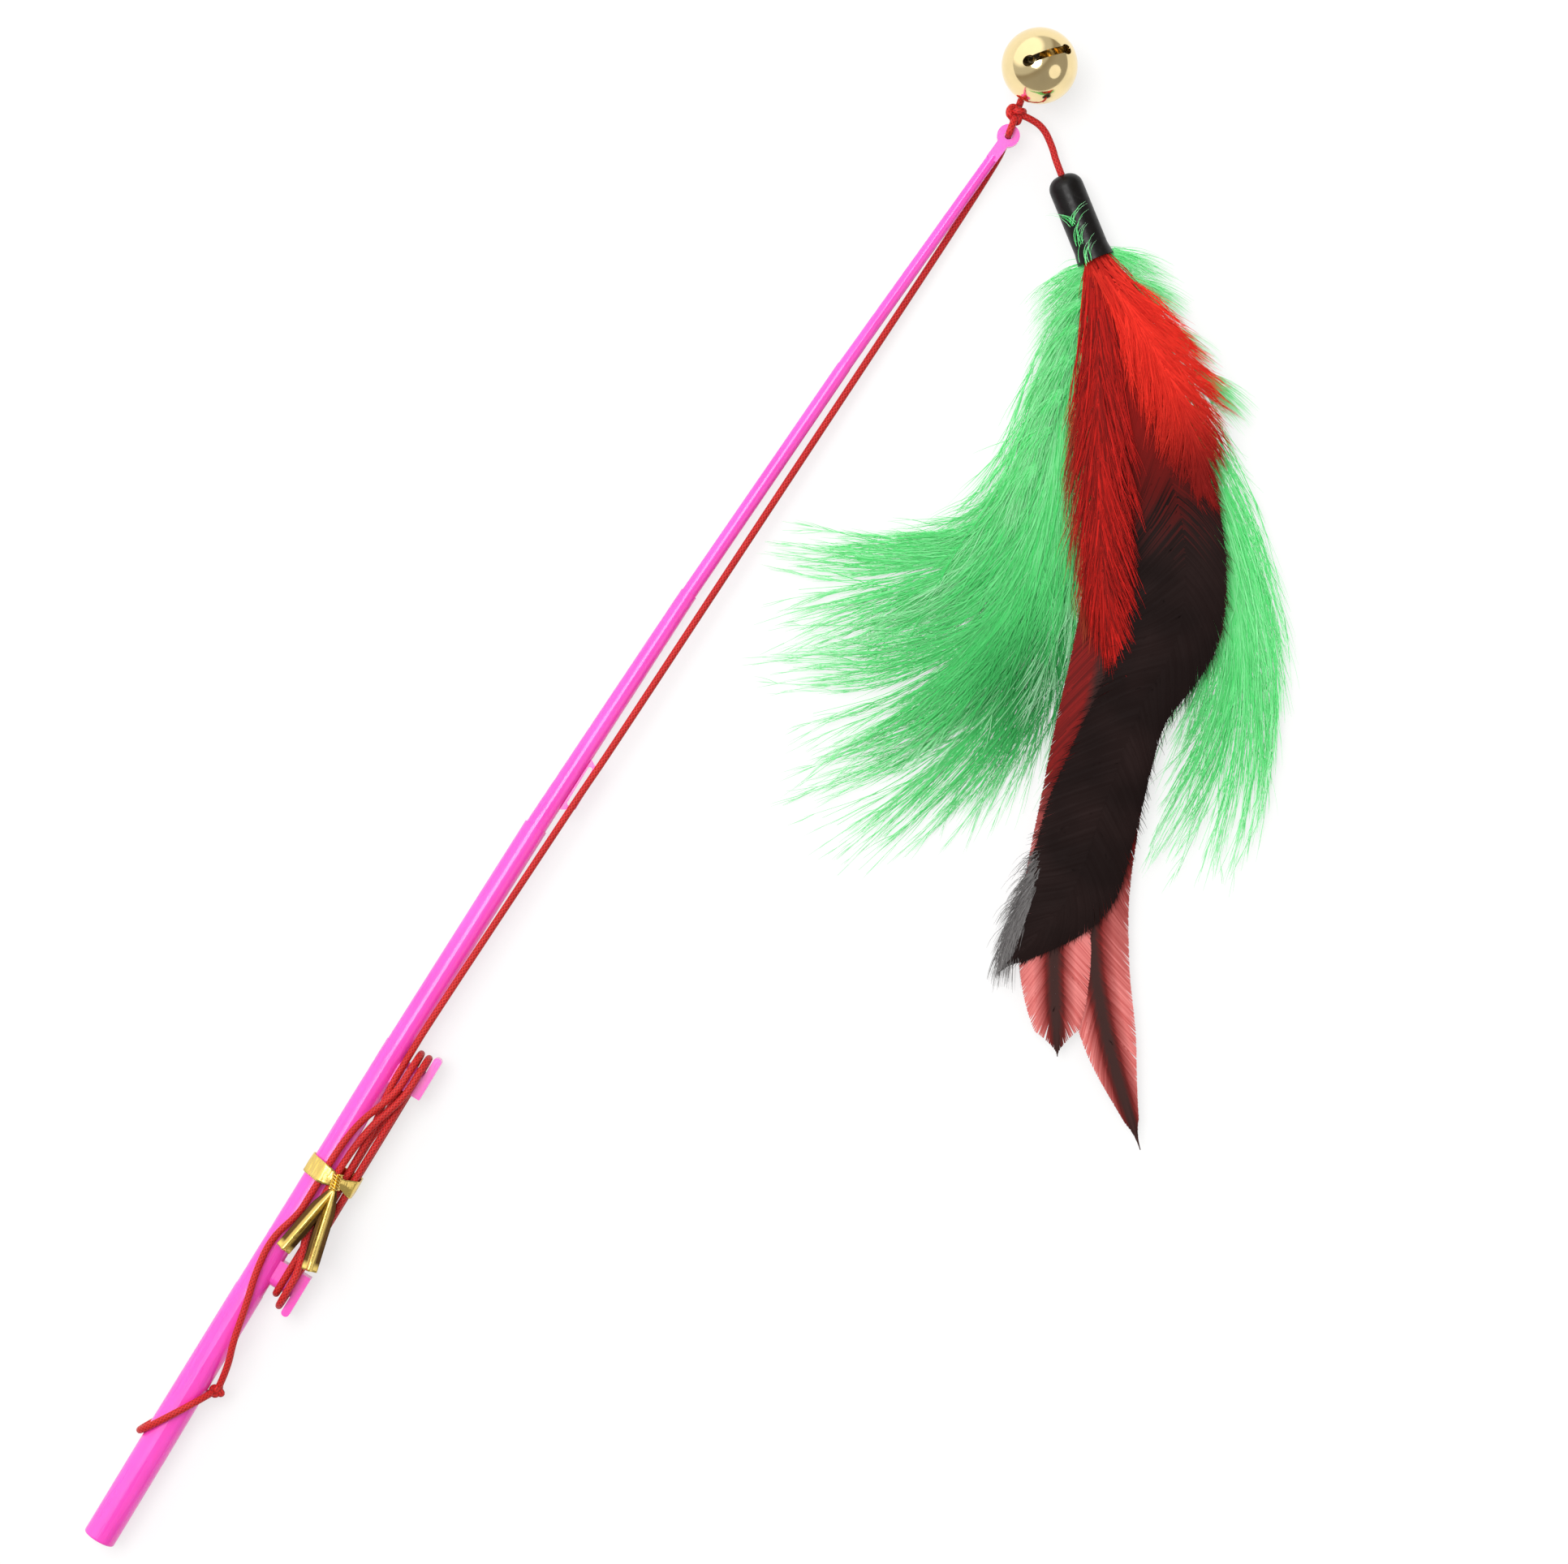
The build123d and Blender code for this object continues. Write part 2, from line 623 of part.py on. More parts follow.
def feather(layer, shaft, half_widths):
    """Flat vane on a quill that reaches into the cap."""
    height = (layer - (len(feathers) - 1) / 2) * feather_pitch - feather_thickness / 2
    points = [Vector(0, 0)] + [Vector(*point) for point in shaft]
    left, right = [], []
    for before, point, after, widths in zip(points, points[1:], points[2:], half_widths):
        way = (after - before).normalized()
        square = Vector(-way.Y, way.X)
        left.append(point + square * widths[0])
        right.append(point - square * widths[1])
    quill_end = -(glue_setback + glue_length - glue_cover)
    side = quill_width / 2
    mouth = cap_origin + cap_way * cap_length + Vector(0, 0, height)
    with BuildPart() as vane:
        with BuildSketch(Plane(origin=mouth, x_dir=cap_way, z_dir=(0, 0, 1))):
            with BuildLine():
                Polyline((0, -side), (quill_end, -side), (quill_end, side), (0, side))
                Spline((0, side), *left, points[-1])
                Spline(points[-1], *reversed(right), (0, -side))
            make_face()
        extrude(amount=feather_thickness)
    return vane


quills = []
for layer, (label, shaft, half_widths) in enumerate(feathers):
    vane = feather(layer, shaft, half_widths)
    save(vane, label)
    quills.append(vane)

# Hot glue round the quills inside the cap
with BuildPart() as glue_plug:
    glue_start = cap_origin + cap_way * (lead_depth + quill_clearance)
    with BuildSketch(Plane(origin=glue_start, z_dir=cap_way)):
        Circle(cap_bore)
    extrude(amount=glue_length)
    for vane in quills:
        add(vane.part, mode=Mode.SUBTRACT)
save(glue_plug, "glue_plug")
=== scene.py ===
"""Looks of a cat teaser wand with a wound cord, a bell and a feather lure, dressed round its solids."""

from math import cos, pi, radians, sin, tan

import bpy
import numpy as np
from mathutils import Matrix, Vector


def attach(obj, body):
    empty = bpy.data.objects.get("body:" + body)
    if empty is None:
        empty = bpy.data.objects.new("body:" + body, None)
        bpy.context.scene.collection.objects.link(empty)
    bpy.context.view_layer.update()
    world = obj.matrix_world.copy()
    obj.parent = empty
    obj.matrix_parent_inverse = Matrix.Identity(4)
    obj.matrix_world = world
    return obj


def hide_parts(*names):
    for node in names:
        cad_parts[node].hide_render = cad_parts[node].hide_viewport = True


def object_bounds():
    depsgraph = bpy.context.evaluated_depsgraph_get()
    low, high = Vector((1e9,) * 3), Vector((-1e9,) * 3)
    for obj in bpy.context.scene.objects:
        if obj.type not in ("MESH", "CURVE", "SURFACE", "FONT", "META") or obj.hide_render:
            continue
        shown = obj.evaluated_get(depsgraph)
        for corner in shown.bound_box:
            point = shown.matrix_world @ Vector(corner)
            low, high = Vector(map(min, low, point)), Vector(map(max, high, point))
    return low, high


bl_info = {
    "name": "Cat Teaser Wand",
    "version": (1, 0, 0),
    "blender": (4, 5, 0),
    "location": "View3D > Sidebar > Wand",
    "description": "Dresses a teaser wand with its cord, tie, bell and feathers",
    "category": "Object",
}

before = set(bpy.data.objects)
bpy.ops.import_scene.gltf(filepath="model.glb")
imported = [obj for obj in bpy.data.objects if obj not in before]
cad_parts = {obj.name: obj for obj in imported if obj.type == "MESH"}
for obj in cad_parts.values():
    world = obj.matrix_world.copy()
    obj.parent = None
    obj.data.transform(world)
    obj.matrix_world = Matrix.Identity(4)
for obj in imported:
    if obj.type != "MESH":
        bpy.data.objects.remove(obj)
cad_low, cad_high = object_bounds()

MM = 0.001

# Camera: it looks straight down, with the picture's right and up as directions on the table
PICTURE_CENTRE = Vector((0.0459, 0.2375, 0))
PICTURE_RIGHT = Vector((0.8551, 0.5185, 0))
PICTURE_UP = Vector((-0.5185, 0.8551, 0))
PICTURE_WIDTH = 0.3715

# Cord on the wand: lanes and turns of the hank, and the routes at both its ends
LEAD_LANE, NEAR_LANE, FAR_LANE = 0.0037, 0.00582, 0.00794
WAIST_LANE, SECOND_WAIST_LANE = 0.0009, 0.00365
INNER_TURN, OUTER_TURN = 0.00295, 0.00507
HOOK_LOW, HOOK_HIGH = 0.0745, 0.1328
WAIST_LOW, WAIST_HIGH = 0.0960, 0.1088
FIRST_THIRD, SECOND_THIRD = 0.0939, 0.1134
RUN_ROUTE = [
    (0.0112, 0.4002, 0.0012),
    (0.0115, 0.3984, 0.0027),
    (0.0119, 0.3962, 0.0032),
    (0.0120, 0.3959, 0.0012),
    (0.0120, 0.3959, -0.0031),
    (0.0130, 0.3881, -0.0031),
    (0.0094, 0.2930, -0.0004),
    (0.0069, 0.2220, 0.0017),
    (0.0063, 0.2115, 0.00195),
    (0.0059, 0.2010, 0.0021),
    (0.0037, 0.1448, 0.00295),
    (0.0037, 0.1368, 0.00295),
]
TAIL_ROUTE = [
    (0.0009, 0.0910, 0.00507),
    (-0.0017, 0.0830, 0.00507),
    (-0.0007, 0.0740, 0.00507),
    (0.0015, 0.0660, 0.00507),
    (0.0032, 0.0574, 0.0049),
    (0.0053, 0.0511, 0.0032),
    (0.0058, 0.0450, 0.0004),
]
LOOP_MIDDLE, LOOP_SLANT, LOOP_RADIUS = 0.0354, 0.0086, 0.00524
LOOP_OPENING, LOOP_RUNS = 10, 10
LEAD_ROUTE = [
    (0.0118, 0.4017, 0.0),
    (0.0135, 0.4021, 0.0),
    (0.0180, 0.4021, -0.0004),
    (0.0225, 0.3991, -0.0013),
    (0.0250, 0.3966, -0.0019),
    (0.0396, 0.3858, -0.0019),
]

# Places of the knots, the bell and the cap
TIP_KNOT = Vector((0.01085, 0.40128, 0))
TAIL_KNOT = Vector((0.00583, 0.0446, 0))
BELL_RING = Vector((0.00909, 0.41037, -0.00378))
CAP_TOP = Vector((0.0276, 0.3947, -0.00192))
CAP_WAY = Vector((0.803, -0.596, 0))
CAP_SIDE = Vector((0.596, 0.803, 0))
CAP_LENGTH = 0.0215
CAP_RADIUS = 0.00415
CAP_MOUTH = CAP_TOP + CAP_WAY * CAP_LENGTH


def length_property(name, description, default):
    """A length in metres that a user may change."""
    return bpy.props.FloatProperty(name=name, description=description, default=default, min=0, unit="LENGTH")


def colour_property(name, description, default):
    """A colour that a user may change."""
    return bpy.props.FloatVectorProperty(
        name=name, description=description, default=default, size=3, min=0, max=1, subtype="COLOR")


class WandSizes(bpy.types.PropertyGroup):
    """Sizes of the cord, the ribbon and the feathers' barbs."""

    cord: length_property("Cord", "Diameter of the elastic cord", 0.0017)
    ribbon: length_property("Ribbon", "Width of the twist tie's ribbon", 0.0038)
    foil: length_property("Foil", "Thickness of the twist tie's ribbon", 0.00025)
    down_barb: length_property("Down barb", "Width of a barb of the fluffy plumes", 0.00026)
    down_fluff: length_property("Fluff", "Width of the fine fluff on a barb", 0.00013)
    vane_barb: length_property("Vane barb", "Width of a barb of the smooth feathers", 0.00050)
    quill: length_property("Quill", "Diameter of a feather's shaft at its base", 0.0011)


class WandColours(bpy.types.PropertyGroup):
    """Colours of the wand's finishes."""

    rod: colour_property("Rod", "Moulded pink plastic", (1.0, 0.055, 0.56))
    cord: colour_property("Cord", "Red elastic", (0.56, 0.012, 0.012))
    foil: colour_property("Foil", "Gold foil", (0.90, 0.62, 0.13))
    bell: colour_property("Bell", "Pale gold plating", (0.92, 0.74, 0.40))
    vinyl: colour_property("Cap", "Black dipped vinyl", (0.005, 0.0042, 0.0042))
    green: colour_property("Green plumes", "Dyed green down", (0.085, 0.88, 0.20))
    bright_red: colour_property("Bright hackle", "Brightest red of the hackles", (1.0, 0.020, 0.012))
    dark_red: colour_property("Dark hackle", "Deep red of the hackles", (0.33, 0.010, 0.008))
    dark: colour_property("Dark feather", "Brown black vane", (0.016, 0.008, 0.0075))
    rose: colour_property("Tail feathers", "Thin rosy edge of the tail vanes", (0.72, 0.14, 0.13))


def clear_selection():
    """Leave nothing selected and no active object in edit mode."""
    if bpy.context.object and bpy.context.object.mode != "OBJECT":
        bpy.ops.object.mode_set(mode="OBJECT")
    bpy.ops.object.select_all(action="DESELECT")


def make_active(piece):
    """Select one piece alone."""
    clear_selection()
    piece.select_set(True)
    bpy.context.view_layer.objects.active = piece


def apply_modifier(piece, kind, **settings):
    """Add a modifier to a piece and apply it."""
    make_active(piece)
    modifier = piece.modifiers.new(kind.title(), kind)
    for name, value in settings.items():
        setattr(modifier, name, value)
    bpy.ops.object.modifier_apply(modifier=modifier.name)


def give_finish(piece, material):
    """Put one material on a piece."""
    piece.data.materials.clear()
    piece.data.materials.append(material)


def joined(name, pieces):
    """Several meshes as one piece."""
    make_active(pieces[0])
    for piece in pieces:
        piece.select_set(True)
    bpy.ops.object.join()
    pieces[0].name = name
    return pieces[0]


def dress(piece, body, slot, material, *nodes):
    """Let a new piece ride on its body, take its finish and stand for its solids."""
    give_finish(piece, material)
    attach(piece, body)
    if nodes:
        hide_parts(*nodes)
    return piece


def placed(name, data):
    """New object in the scene, at the origin."""
    made = bpy.data.objects.new(name, data)
    bpy.context.scene.collection.objects.link(made)
    return made


def mapped_mesh(name, points, faces, map_name, corners):
    """New smooth piece from points and faces in the shared frame, with a place on its map for each corner."""
    mesh = bpy.data.meshes.new(name)
    mesh.from_pydata([tuple(p) for p in points], [], faces)
    mesh.update()
    mesh.shade_smooth()
    mesh.uv_layers.new(name=map_name).data.foreach_set("uv", np.array(corners, np.float32).ravel())
    return placed(name, mesh)


def four(colour):
    """A colour with full opacity, or a socket as it is."""
    return colour if isinstance(colour, bpy.types.NodeSocket) else (*colour, 1)


class Finish:
    """A procedural material under construction."""

    def __init__(self, name):
        self.material = bpy.data.materials.new(name)
        self.material.use_nodes = True
        self.tree = self.material.node_tree
        self.shader = self.tree.nodes["Principled BSDF"]
        self.coordinates = self.tree.nodes.new("ShaderNodeTexCoord").outputs

    def set(self, **values):
        """Constant values on the shader's own sockets."""
        for name, value in values.items():
            self.shader.inputs[name.replace("_", " ")].default_value = value
        return self

    def node(self, kind, inputs, **settings):
        """A node with its settings, and its inputs linked or set."""
        made = self.tree.nodes.new("ShaderNode" + kind)
        for name, value in settings.items():
            setattr(made, name, value)
        for name, value in inputs.items():
            if isinstance(value, bpy.types.NodeSocket):
                self.tree.links.new(value, made.inputs[name])
            else:
                made.inputs[name].default_value = value
        return made.outputs

    def link(self, source, name):
        """Link a socket to one of the shader's inputs."""
        self.tree.links.new(source, self.shader.inputs[name])

    def add_shader(self, other, share):
        """Mix another shader with the finish's own."""
        blend = self.node("MixShader", {0: share, 1: self.shader.outputs[0], 2: other[0]})
        self.tree.links.new(blend[0], self.tree.nodes["Material Output"].inputs["Surface"])

    def stretched(self, *scale):
        """Coordinates on the piece, scaled along each axis."""
        return self.node("Mapping", {"Vector": self.coordinates["Object"], "Scale": scale})["Vector"]

    def noise(self, scale, detail=3.0, where=None):
        """Noise over the piece."""
        where = where or self.coordinates["Object"]
        return self.node("TexNoise", {"Vector": where, "Scale": scale, "Detail": detail})["Fac"]

    def ramp(self, source, *stops):
        """Colours or greys along a value, as (place, colour) stops."""
        made = self.tree.nodes.new("ShaderNodeValToRGB")
        self.tree.links.new(source, made.inputs["Fac"])
        elements = made.color_ramp.elements
        while len(elements) < len(stops):
            elements.new(0.5)
        for element, (place, colour) in zip(elements, stops):
            element.position = place
            element.color = four(colour if hasattr(colour, "__len__") else [colour] * 3)
        return made.outputs["Color"]

    def mix(self, share, first, second):
        """Mix two colours by a share."""
        return self.node("Mix", {0: share, 6: four(first), 7: four(second)}, data_type="RGBA")[2]

    def sums(self, operation, *values):
        """A calculation with one or two values."""
        return self.node("Math", dict(enumerate(values)), operation=operation)[0]

    def bump(self, height, distance, strength):
        """Relief from a height."""
        relief = self.node("Bump", {"Height": height, "Distance": distance, "Strength": strength})
        self.link(relief["Normal"], "Normal")


def shade(colour, share):
    """A colour made darker, or lighter than it is."""
    return tuple(min(1.0, c * share) for c in colour)


def toward(colour, other, share):
    """A colour part of the way to another."""
    return tuple(a + share * (b - a) for a, b in zip(colour, other))


def rod_finish(colours):
    """Glossy moulded plastic with flow streaks along the rod and a faint mould texture."""
    finish = Finish("pink_plastic").set(
        Coat_Weight=0.35, Coat_Roughness=0.12, Subsurface_Weight=0.15, Subsurface_Scale=0.002)
    streaks = finish.noise(1.0, 4, finish.stretched(520, 38, 520))
    cloud = finish.noise(55.0, 2)
    flow = finish.sums("ADD", finish.sums("MULTIPLY", streaks, 0.6), finish.sums("MULTIPLY", cloud, 0.4))
    pale = toward(colours.rod, (1, 0.2, 0.75), 0.25)
    finish.link(finish.ramp(flow, (0.30, shade(colours.rod, 0.86)), (0.70, pale)), "Base Color")
    finish.link(finish.ramp(streaks, (0.3, 0.22), (0.7, 0.36)), "Roughness")
    finish.bump(finish.sums("ADD", finish.noise(900.0, 2), streaks), 0.00004, 0.5)
    return finish.material


def cord_finish(colours):
    """Braided elastic: two sets of yarns crossing round the cord, with painted shade that darkens the dips
    between the yarns.
    """
    yarns_round, yarns_along = 6, 1.6
    finish = Finish("red_elastic").set(Sheen_Weight=0.05, Sheen_Roughness=0.4, Specular_IOR_Level=0.25)
    place = finish.node("SeparateXYZ", {"Vector": finish.coordinates["UV"]})
    around = finish.sums("MULTIPLY", place["X"], 2 * pi * yarns_round)
    along = finish.sums("MULTIPLY", place["Y"], 2 * pi * yarns_along)
    yarns = [finish.sums("SINE", finish.sums(way, around, along)) for way in ("ADD", "SUBTRACT")]
    braid = finish.sums("MULTIPLY", finish.sums("ADD", finish.sums("MAXIMUM", *yarns), 1.0), 0.5)
    # Painted shade: the dips of the braid are mixed toward a darker red
    groove_shade = finish.ramp(braid, (0.35, 0.75), (0.85, 0.0))
    pale = toward(colours.cord, (1, 0.06, 0.05), 0.35)
    worn = finish.mix(finish.noise(160.0), shade(colours.cord, 0.82), pale)
    finish.link(finish.mix(groove_shade, worn, shade(colours.cord, 0.42)), "Base Color")
    finish.link(finish.ramp(braid, (0.2, 0.62), (0.9, 0.42)), "Roughness")
    finish.bump(braid, 0.00009, 0.8)
    return finish.material


def foil_finish(colours):
    """Crinkled gold foil, with painted dark reflections beside the wire of its tails."""
    finish = Finish("gold_foil").set(Metallic=1.0)
    creases = finish.noise(700.0)
    place = finish.node("SeparateXYZ", {"Vector": finish.coordinates["UV"]})
    pale = toward(colours.foil, (1, 0.85, 0.4), 0.35)
    bright = finish.mix(finish.noise(180.0), shade(colours.foil, 0.78), pale)
    # Painted dark reflection: the foil beside the tails' wire takes a dark brown base colour
    flank_reflection = finish.sums("MULTIPLY", finish.ramp(place["Y"], (0.30, 0.0), (0.50, 0.95)),
                         finish.ramp(place["X"], (0.86, 1.0), (0.93, 0.0)))
    finish.link(finish.mix(flank_reflection, bright, (0.075, 0.026, 0.010)), "Base Color")
    finish.link(finish.ramp(creases, (0.3, 0.16), (0.7, 0.34)), "Roughness")
    finish.bump(creases, 0.00010, 0.6)
    return finish.material


def bell_finish(colours):
    """Polished plating with faint spinning marks and a little tarnish."""
    finish = Finish("bell_plating").set(Metallic=1.0)
    tarnish = finish.ramp(finish.noise(130.0, 4), (0.45, 0.0), (0.75, 0.6))
    finish.link(finish.mix(tarnish, colours.bell, shade(colours.bell, 0.80)), "Base Color")
    marks = finish.noise(1.0, 3, finish.stretched(220, 220, 2600))
    finish.link(finish.ramp(marks, (0.3, 0.07), (0.7, 0.15)), "Roughness")
    finish.bump(finish.noise(90.0, 2), 0.00005, 0.25)
    return finish.material


def vinyl_finish(colours):
    """Satin black dip with an orange-peel skin and dusty scuffs."""
    finish = Finish("black_vinyl").set(Specular_IOR_Level=0.22)
    scuffs = finish.noise(1.0, 5, finish.stretched(900, 900, 300))
    dust = finish.ramp(scuffs, (0.60, 0.0), (0.85, 0.35))
    finish.link(finish.mix(dust, colours.vinyl, (0.035, 0.035, 0.033)), "Base Color")
    finish.link(finish.ramp(scuffs, (0.35, 0.26), (0.75, 0.46)), "Roughness")
    finish.bump(finish.noise(650.0, 2), 0.00002, 0.3)
    return finish.material


def steel_finish():
    """Plain steel ball."""
    finish = Finish("pellet_steel").set(Metallic=1.0)
    dark, bright = (0.45, 0.45, 0.46), (0.62, 0.62, 0.63)
    finish.link(finish.ramp(finish.noise(400.0), (0.3, dark), (0.7, bright)), "Base Color")
    finish.link(finish.ramp(finish.noise(900.0), (0.3, 0.25), (0.7, 0.45)), "Roughness")
    return finish.material


def glue_finish():
    """Cloudy hot glue."""
    finish = Finish("hot_glue").set(Subsurface_Weight=0.3, Subsurface_Scale=0.003)
    amber, cloudy = (0.62, 0.58, 0.47), (0.80, 0.77, 0.68)
    finish.link(finish.ramp(finish.noise(350.0), (0.3, amber), (0.7, cloudy)), "Base Color")
    finish.link(finish.ramp(finish.noise(600.0), (0.3, 0.3), (0.7, 0.5)), "Roughness")
    finish.bump(finish.noise(300.0), 0.0002, 0.5)
    return finish.material


def floor_finish():
    """White table that stays white in the picture and keeps the object's shadow."""
    table_white, white_share = (0.92, 0.92, 0.92, 1), 0.68
    finish = Finish("white_table").set(Base_Color=table_white, Roughness=0.8, Specular_IOR_Level=0.1)
    path = finish.node("LightPath", {})
    seen = finish.sums("MAXIMUM", path["Is Camera Ray"], path["Is Glossy Ray"])
    seen = finish.sums("MAXIMUM", seen, path["Is Transmission Ray"])
    glow = finish.node("Emission", {"Color": (1, 1, 1, 1), "Strength": 1.0})
    finish.add_shader(glow, finish.sums("MULTIPLY", seen, white_share))
    return finish.material


def steps(line):
    """Distances from each point of a line to the next."""
    return np.linalg.norm(np.diff(line, axis=0), axis=1)


def run_along(line):
    """Distance of each point of a line from its start, along the line."""
    return np.concatenate([[0], np.cumsum(steps(line))])


def at_places(places, known, values):
    """Two columns of values, read off between the known places."""
    return np.stack([np.interp(places, known, values[:, axis]) for axis in range(2)], axis=-1)


def unit(ways):
    """Directions of length one."""
    return ways / (np.linalg.norm(ways, axis=-1, keepdims=True) + 1e-12)


def route_line(points, resolution=8):
    """Points along the smooth line that has these control points."""
    curve = bpy.data.curves.new("route", "CURVE")
    curve.dimensions = "3D"
    spline = curve.splines.new("NURBS")
    spline.points.add(len(points) - 1)
    for control, place in zip(spline.points, points):
        control.co = (*place, 1)
    spline.order_u = 3
    spline.use_endpoint_u = True
    spline.resolution_u = resolution
    holder = bpy.data.objects.new("route", curve)
    mesh = bpy.data.meshes.new_from_object(holder)
    line = np.array([tuple(v.co) for v in mesh.vertices])
    bpy.data.objects.remove(holder)
    bpy.data.curves.remove(curve)
    bpy.data.meshes.remove(mesh)
    return line[np.concatenate([[True], steps(line) > 1e-6])]


def cord_tube(name, line, diameter, sides=12, askew=(0.3, 0.2, 0.93)):
    """Round tube along a line that doesn't start along askew, closed, with a map round and along it."""
    ways = unit(np.gradient(line, axis=0))
    along = run_along(line) / diameter
    across = np.cross(ways[0], askew)
    points = []
    for place, way in zip(line, ways):
        across = unit(across - way * np.dot(across, way))
        other = np.cross(way, across)
        for corner in range(sides):
            angle = 2 * pi * corner / sides
            points.append(place + (across * cos(angle) + other * sin(angle)) * diameter / 2)
    faces, maps = [], []
    for ring in range(len(line) - 1):
        for corner in range(sides):
            a, b = ring * sides + corner, ring * sides + (corner + 1) % sides
            faces.append((a, b, b + sides, a + sides))
            u, w = corner / sides, (corner + 1) / sides
            maps += [(u, along[ring]), (w, along[ring]), (w, along[ring + 1]), (u, along[ring + 1])]
    last = (len(line) - 1) * sides
    for ends, place in ((range(sides - 1, -1, -1), along[0]), (range(last, last + sides), along[-1])):
        faces.append(tuple(ends))
        maps += [(0.0, place)] * sides
    return mapped_mesh(name, points, faces, "along_cord", maps)


def half_turn(lane, radius, place, outward, downward):
    """Control points of a half turn round a hook's post."""
    short = radius * tan(pi / 8)
    corners = [(short, radius), (radius, short), (radius, -short), (short, -radius)]
    points = [(lane, place + outward * reach, height) for reach, height in corners]
    return points if downward else points[::-1]


def change_lane(start, end):
    """Control points that shift a strand sideways and leave it parallel to the rod."""
    quarter = (end[1] - start[1]) / 4
    return [(start[0], start[1] + quarter, start[2]), (end[0], end[1] - quarter, end[2])]


def hank_route():
    """Control points of the cord wound round both hooks, from its run to its tail."""
    route = []
    route += change_lane((LEAD_LANE, HOOK_HIGH, INNER_TURN), (NEAR_LANE, WAIST_HIGH, INNER_TURN))
    route += [(NEAR_LANE, WAIST_LOW, INNER_TURN)]
    route += half_turn(NEAR_LANE, INNER_TURN, HOOK_LOW, -1, True)
    route += [(NEAR_LANE, FIRST_THIRD, -INNER_TURN)]
    route += change_lane((NEAR_LANE, SECOND_THIRD, -INNER_TURN), (FAR_LANE, HOOK_HIGH, -INNER_TURN))
    route += half_turn(FAR_LANE, INNER_TURN, HOOK_HIGH, 1, False)
    route += [(FAR_LANE, SECOND_THIRD, INNER_TURN), (FAR_LANE, FIRST_THIRD, INNER_TURN)]
    route += half_turn(FAR_LANE, INNER_TURN, HOOK_LOW, -1, True)
    route += change_lane((FAR_LANE, FIRST_THIRD, -INNER_TURN), (FAR_LANE, SECOND_THIRD, -OUTER_TURN))
    route += [(FAR_LANE, SECOND_THIRD, -OUTER_TURN)]
    route += half_turn(FAR_LANE, OUTER_TURN, HOOK_HIGH, 1, False)
    route += change_lane((FAR_LANE, HOOK_HIGH, OUTER_TURN), (SECOND_WAIST_LANE, WAIST_HIGH, OUTER_TURN))
    route += change_lane((SECOND_WAIST_LANE, WAIST_LOW, OUTER_TURN), (FAR_LANE, HOOK_LOW, OUTER_TURN))
    route += half_turn(FAR_LANE, OUTER_TURN, HOOK_LOW, -1, True)
    route += change_lane((FAR_LANE, HOOK_LOW, -OUTER_TURN), (NEAR_LANE, FIRST_THIRD, -OUTER_TURN))
    route += [(NEAR_LANE, SECOND_THIRD, -OUTER_TURN)]
    route += half_turn(NEAR_LANE, OUTER_TURN, HOOK_HIGH, 1, False)
    route += change_lane((NEAR_LANE, HOOK_HIGH, OUTER_TURN), (WAIST_LANE, WAIST_HIGH, OUTER_TURN))
    return route + [(WAIST_LANE, WAIST_LOW, OUTER_TURN)]


def loop_route():
    """Control points of the slack loop round the handle, from the knot and back to it."""
    turn = (360 - 2 * LOOP_OPENING) / LOOP_RUNS
    route = []
    for corner in range(LOOP_RUNS + 1):
        angle = radians(LOOP_OPENING + corner * turn)
        reach = cos(angle)
        route.append((LOOP_RADIUS * reach, LOOP_MIDDLE + LOOP_SLANT * reach, LOOP_RADIUS * sin(angle)))
    return route


def knot_line(centre, radius, diameter, turned, tilted=0.5, flatness=0.62, count=72):
    """Closed line of a tight overhand knot that fits in a ball."""
    reach = radius - diameter / 2
    wide, high = reach / 3, reach * flatness
    turn = Matrix.Rotation(turned, 3, "Z") @ Matrix.Rotation(tilted, 3, "X")
    line = []
    for step in range(count + 1):
        t = 2 * pi * step / count
        place = (wide * (sin(t) + 2 * sin(2 * t)), wide * (cos(t) - 2 * cos(2 * t)), -high * sin(3 * t))
        line.append(tuple(centre + turn @ Vector(place)))
    return np.array(line)


# Twist tie: what its band is pulled round, as (place across the rod, radius), and its ends
TIE_PLACE, TIE_HALF = 0.1024, 0.0024
TIE_CLEARANCE, CRINKLE_DEPTH, GATHER_HEIGHT = 0.0003, 0.00006, 0.0004
CRINKLE_WAVES = (9, 14, 23, 31)
GATHER_PLACE, GATHER_REACH = (0.0055, 0.0058), 0.0028
TIE_BUNDLE = [
    ((0, 0), 0.0034),
    ((NEAR_LANE, -OUTER_TURN), 0.00085),
    ((FAR_LANE, -OUTER_TURN), 0.00085),
    ((FAR_LANE, INNER_TURN), 0.00085),
    ((SECOND_WAIST_LANE, OUTER_TURN), 0.00085),
    ((WAIST_LANE, OUTER_TURN), 0.00085),
]
TIE_TWIST = [(0.0040, 0.1042, 0.0071), (0.0051, 0.1006, 0.0074)]
TIE_START_TURNS = (0.3, 1.9)
TIE_TAILS = [(0.0020, 0.0824, 0.0070), (0.0099, 0.0812, 0.0070)]


def ribbon(name, grid, maps, thickness, closed=False):
    """Strip of foil from a grid of points, given its thickness."""
    rows, columns = grid.shape[:2]
    faces, corners = [], []
    for row in range(rows if closed else rows - 1):
        after = (row + 1) % rows
        for column in range(columns - 1):
            cell = [(row, column), (row, column + 1), (after, column + 1), (after, column)]
            faces.append([r * columns + c for r, c in cell])
            corners += [maps[r][c] for r, c in cell]
    strip = mapped_mesh(name, grid.reshape(-1, 3), faces, "along_ribbon", corners)
    apply_modifier(strip, "SOLIDIFY", thickness=thickness, offset=0)
    return strip


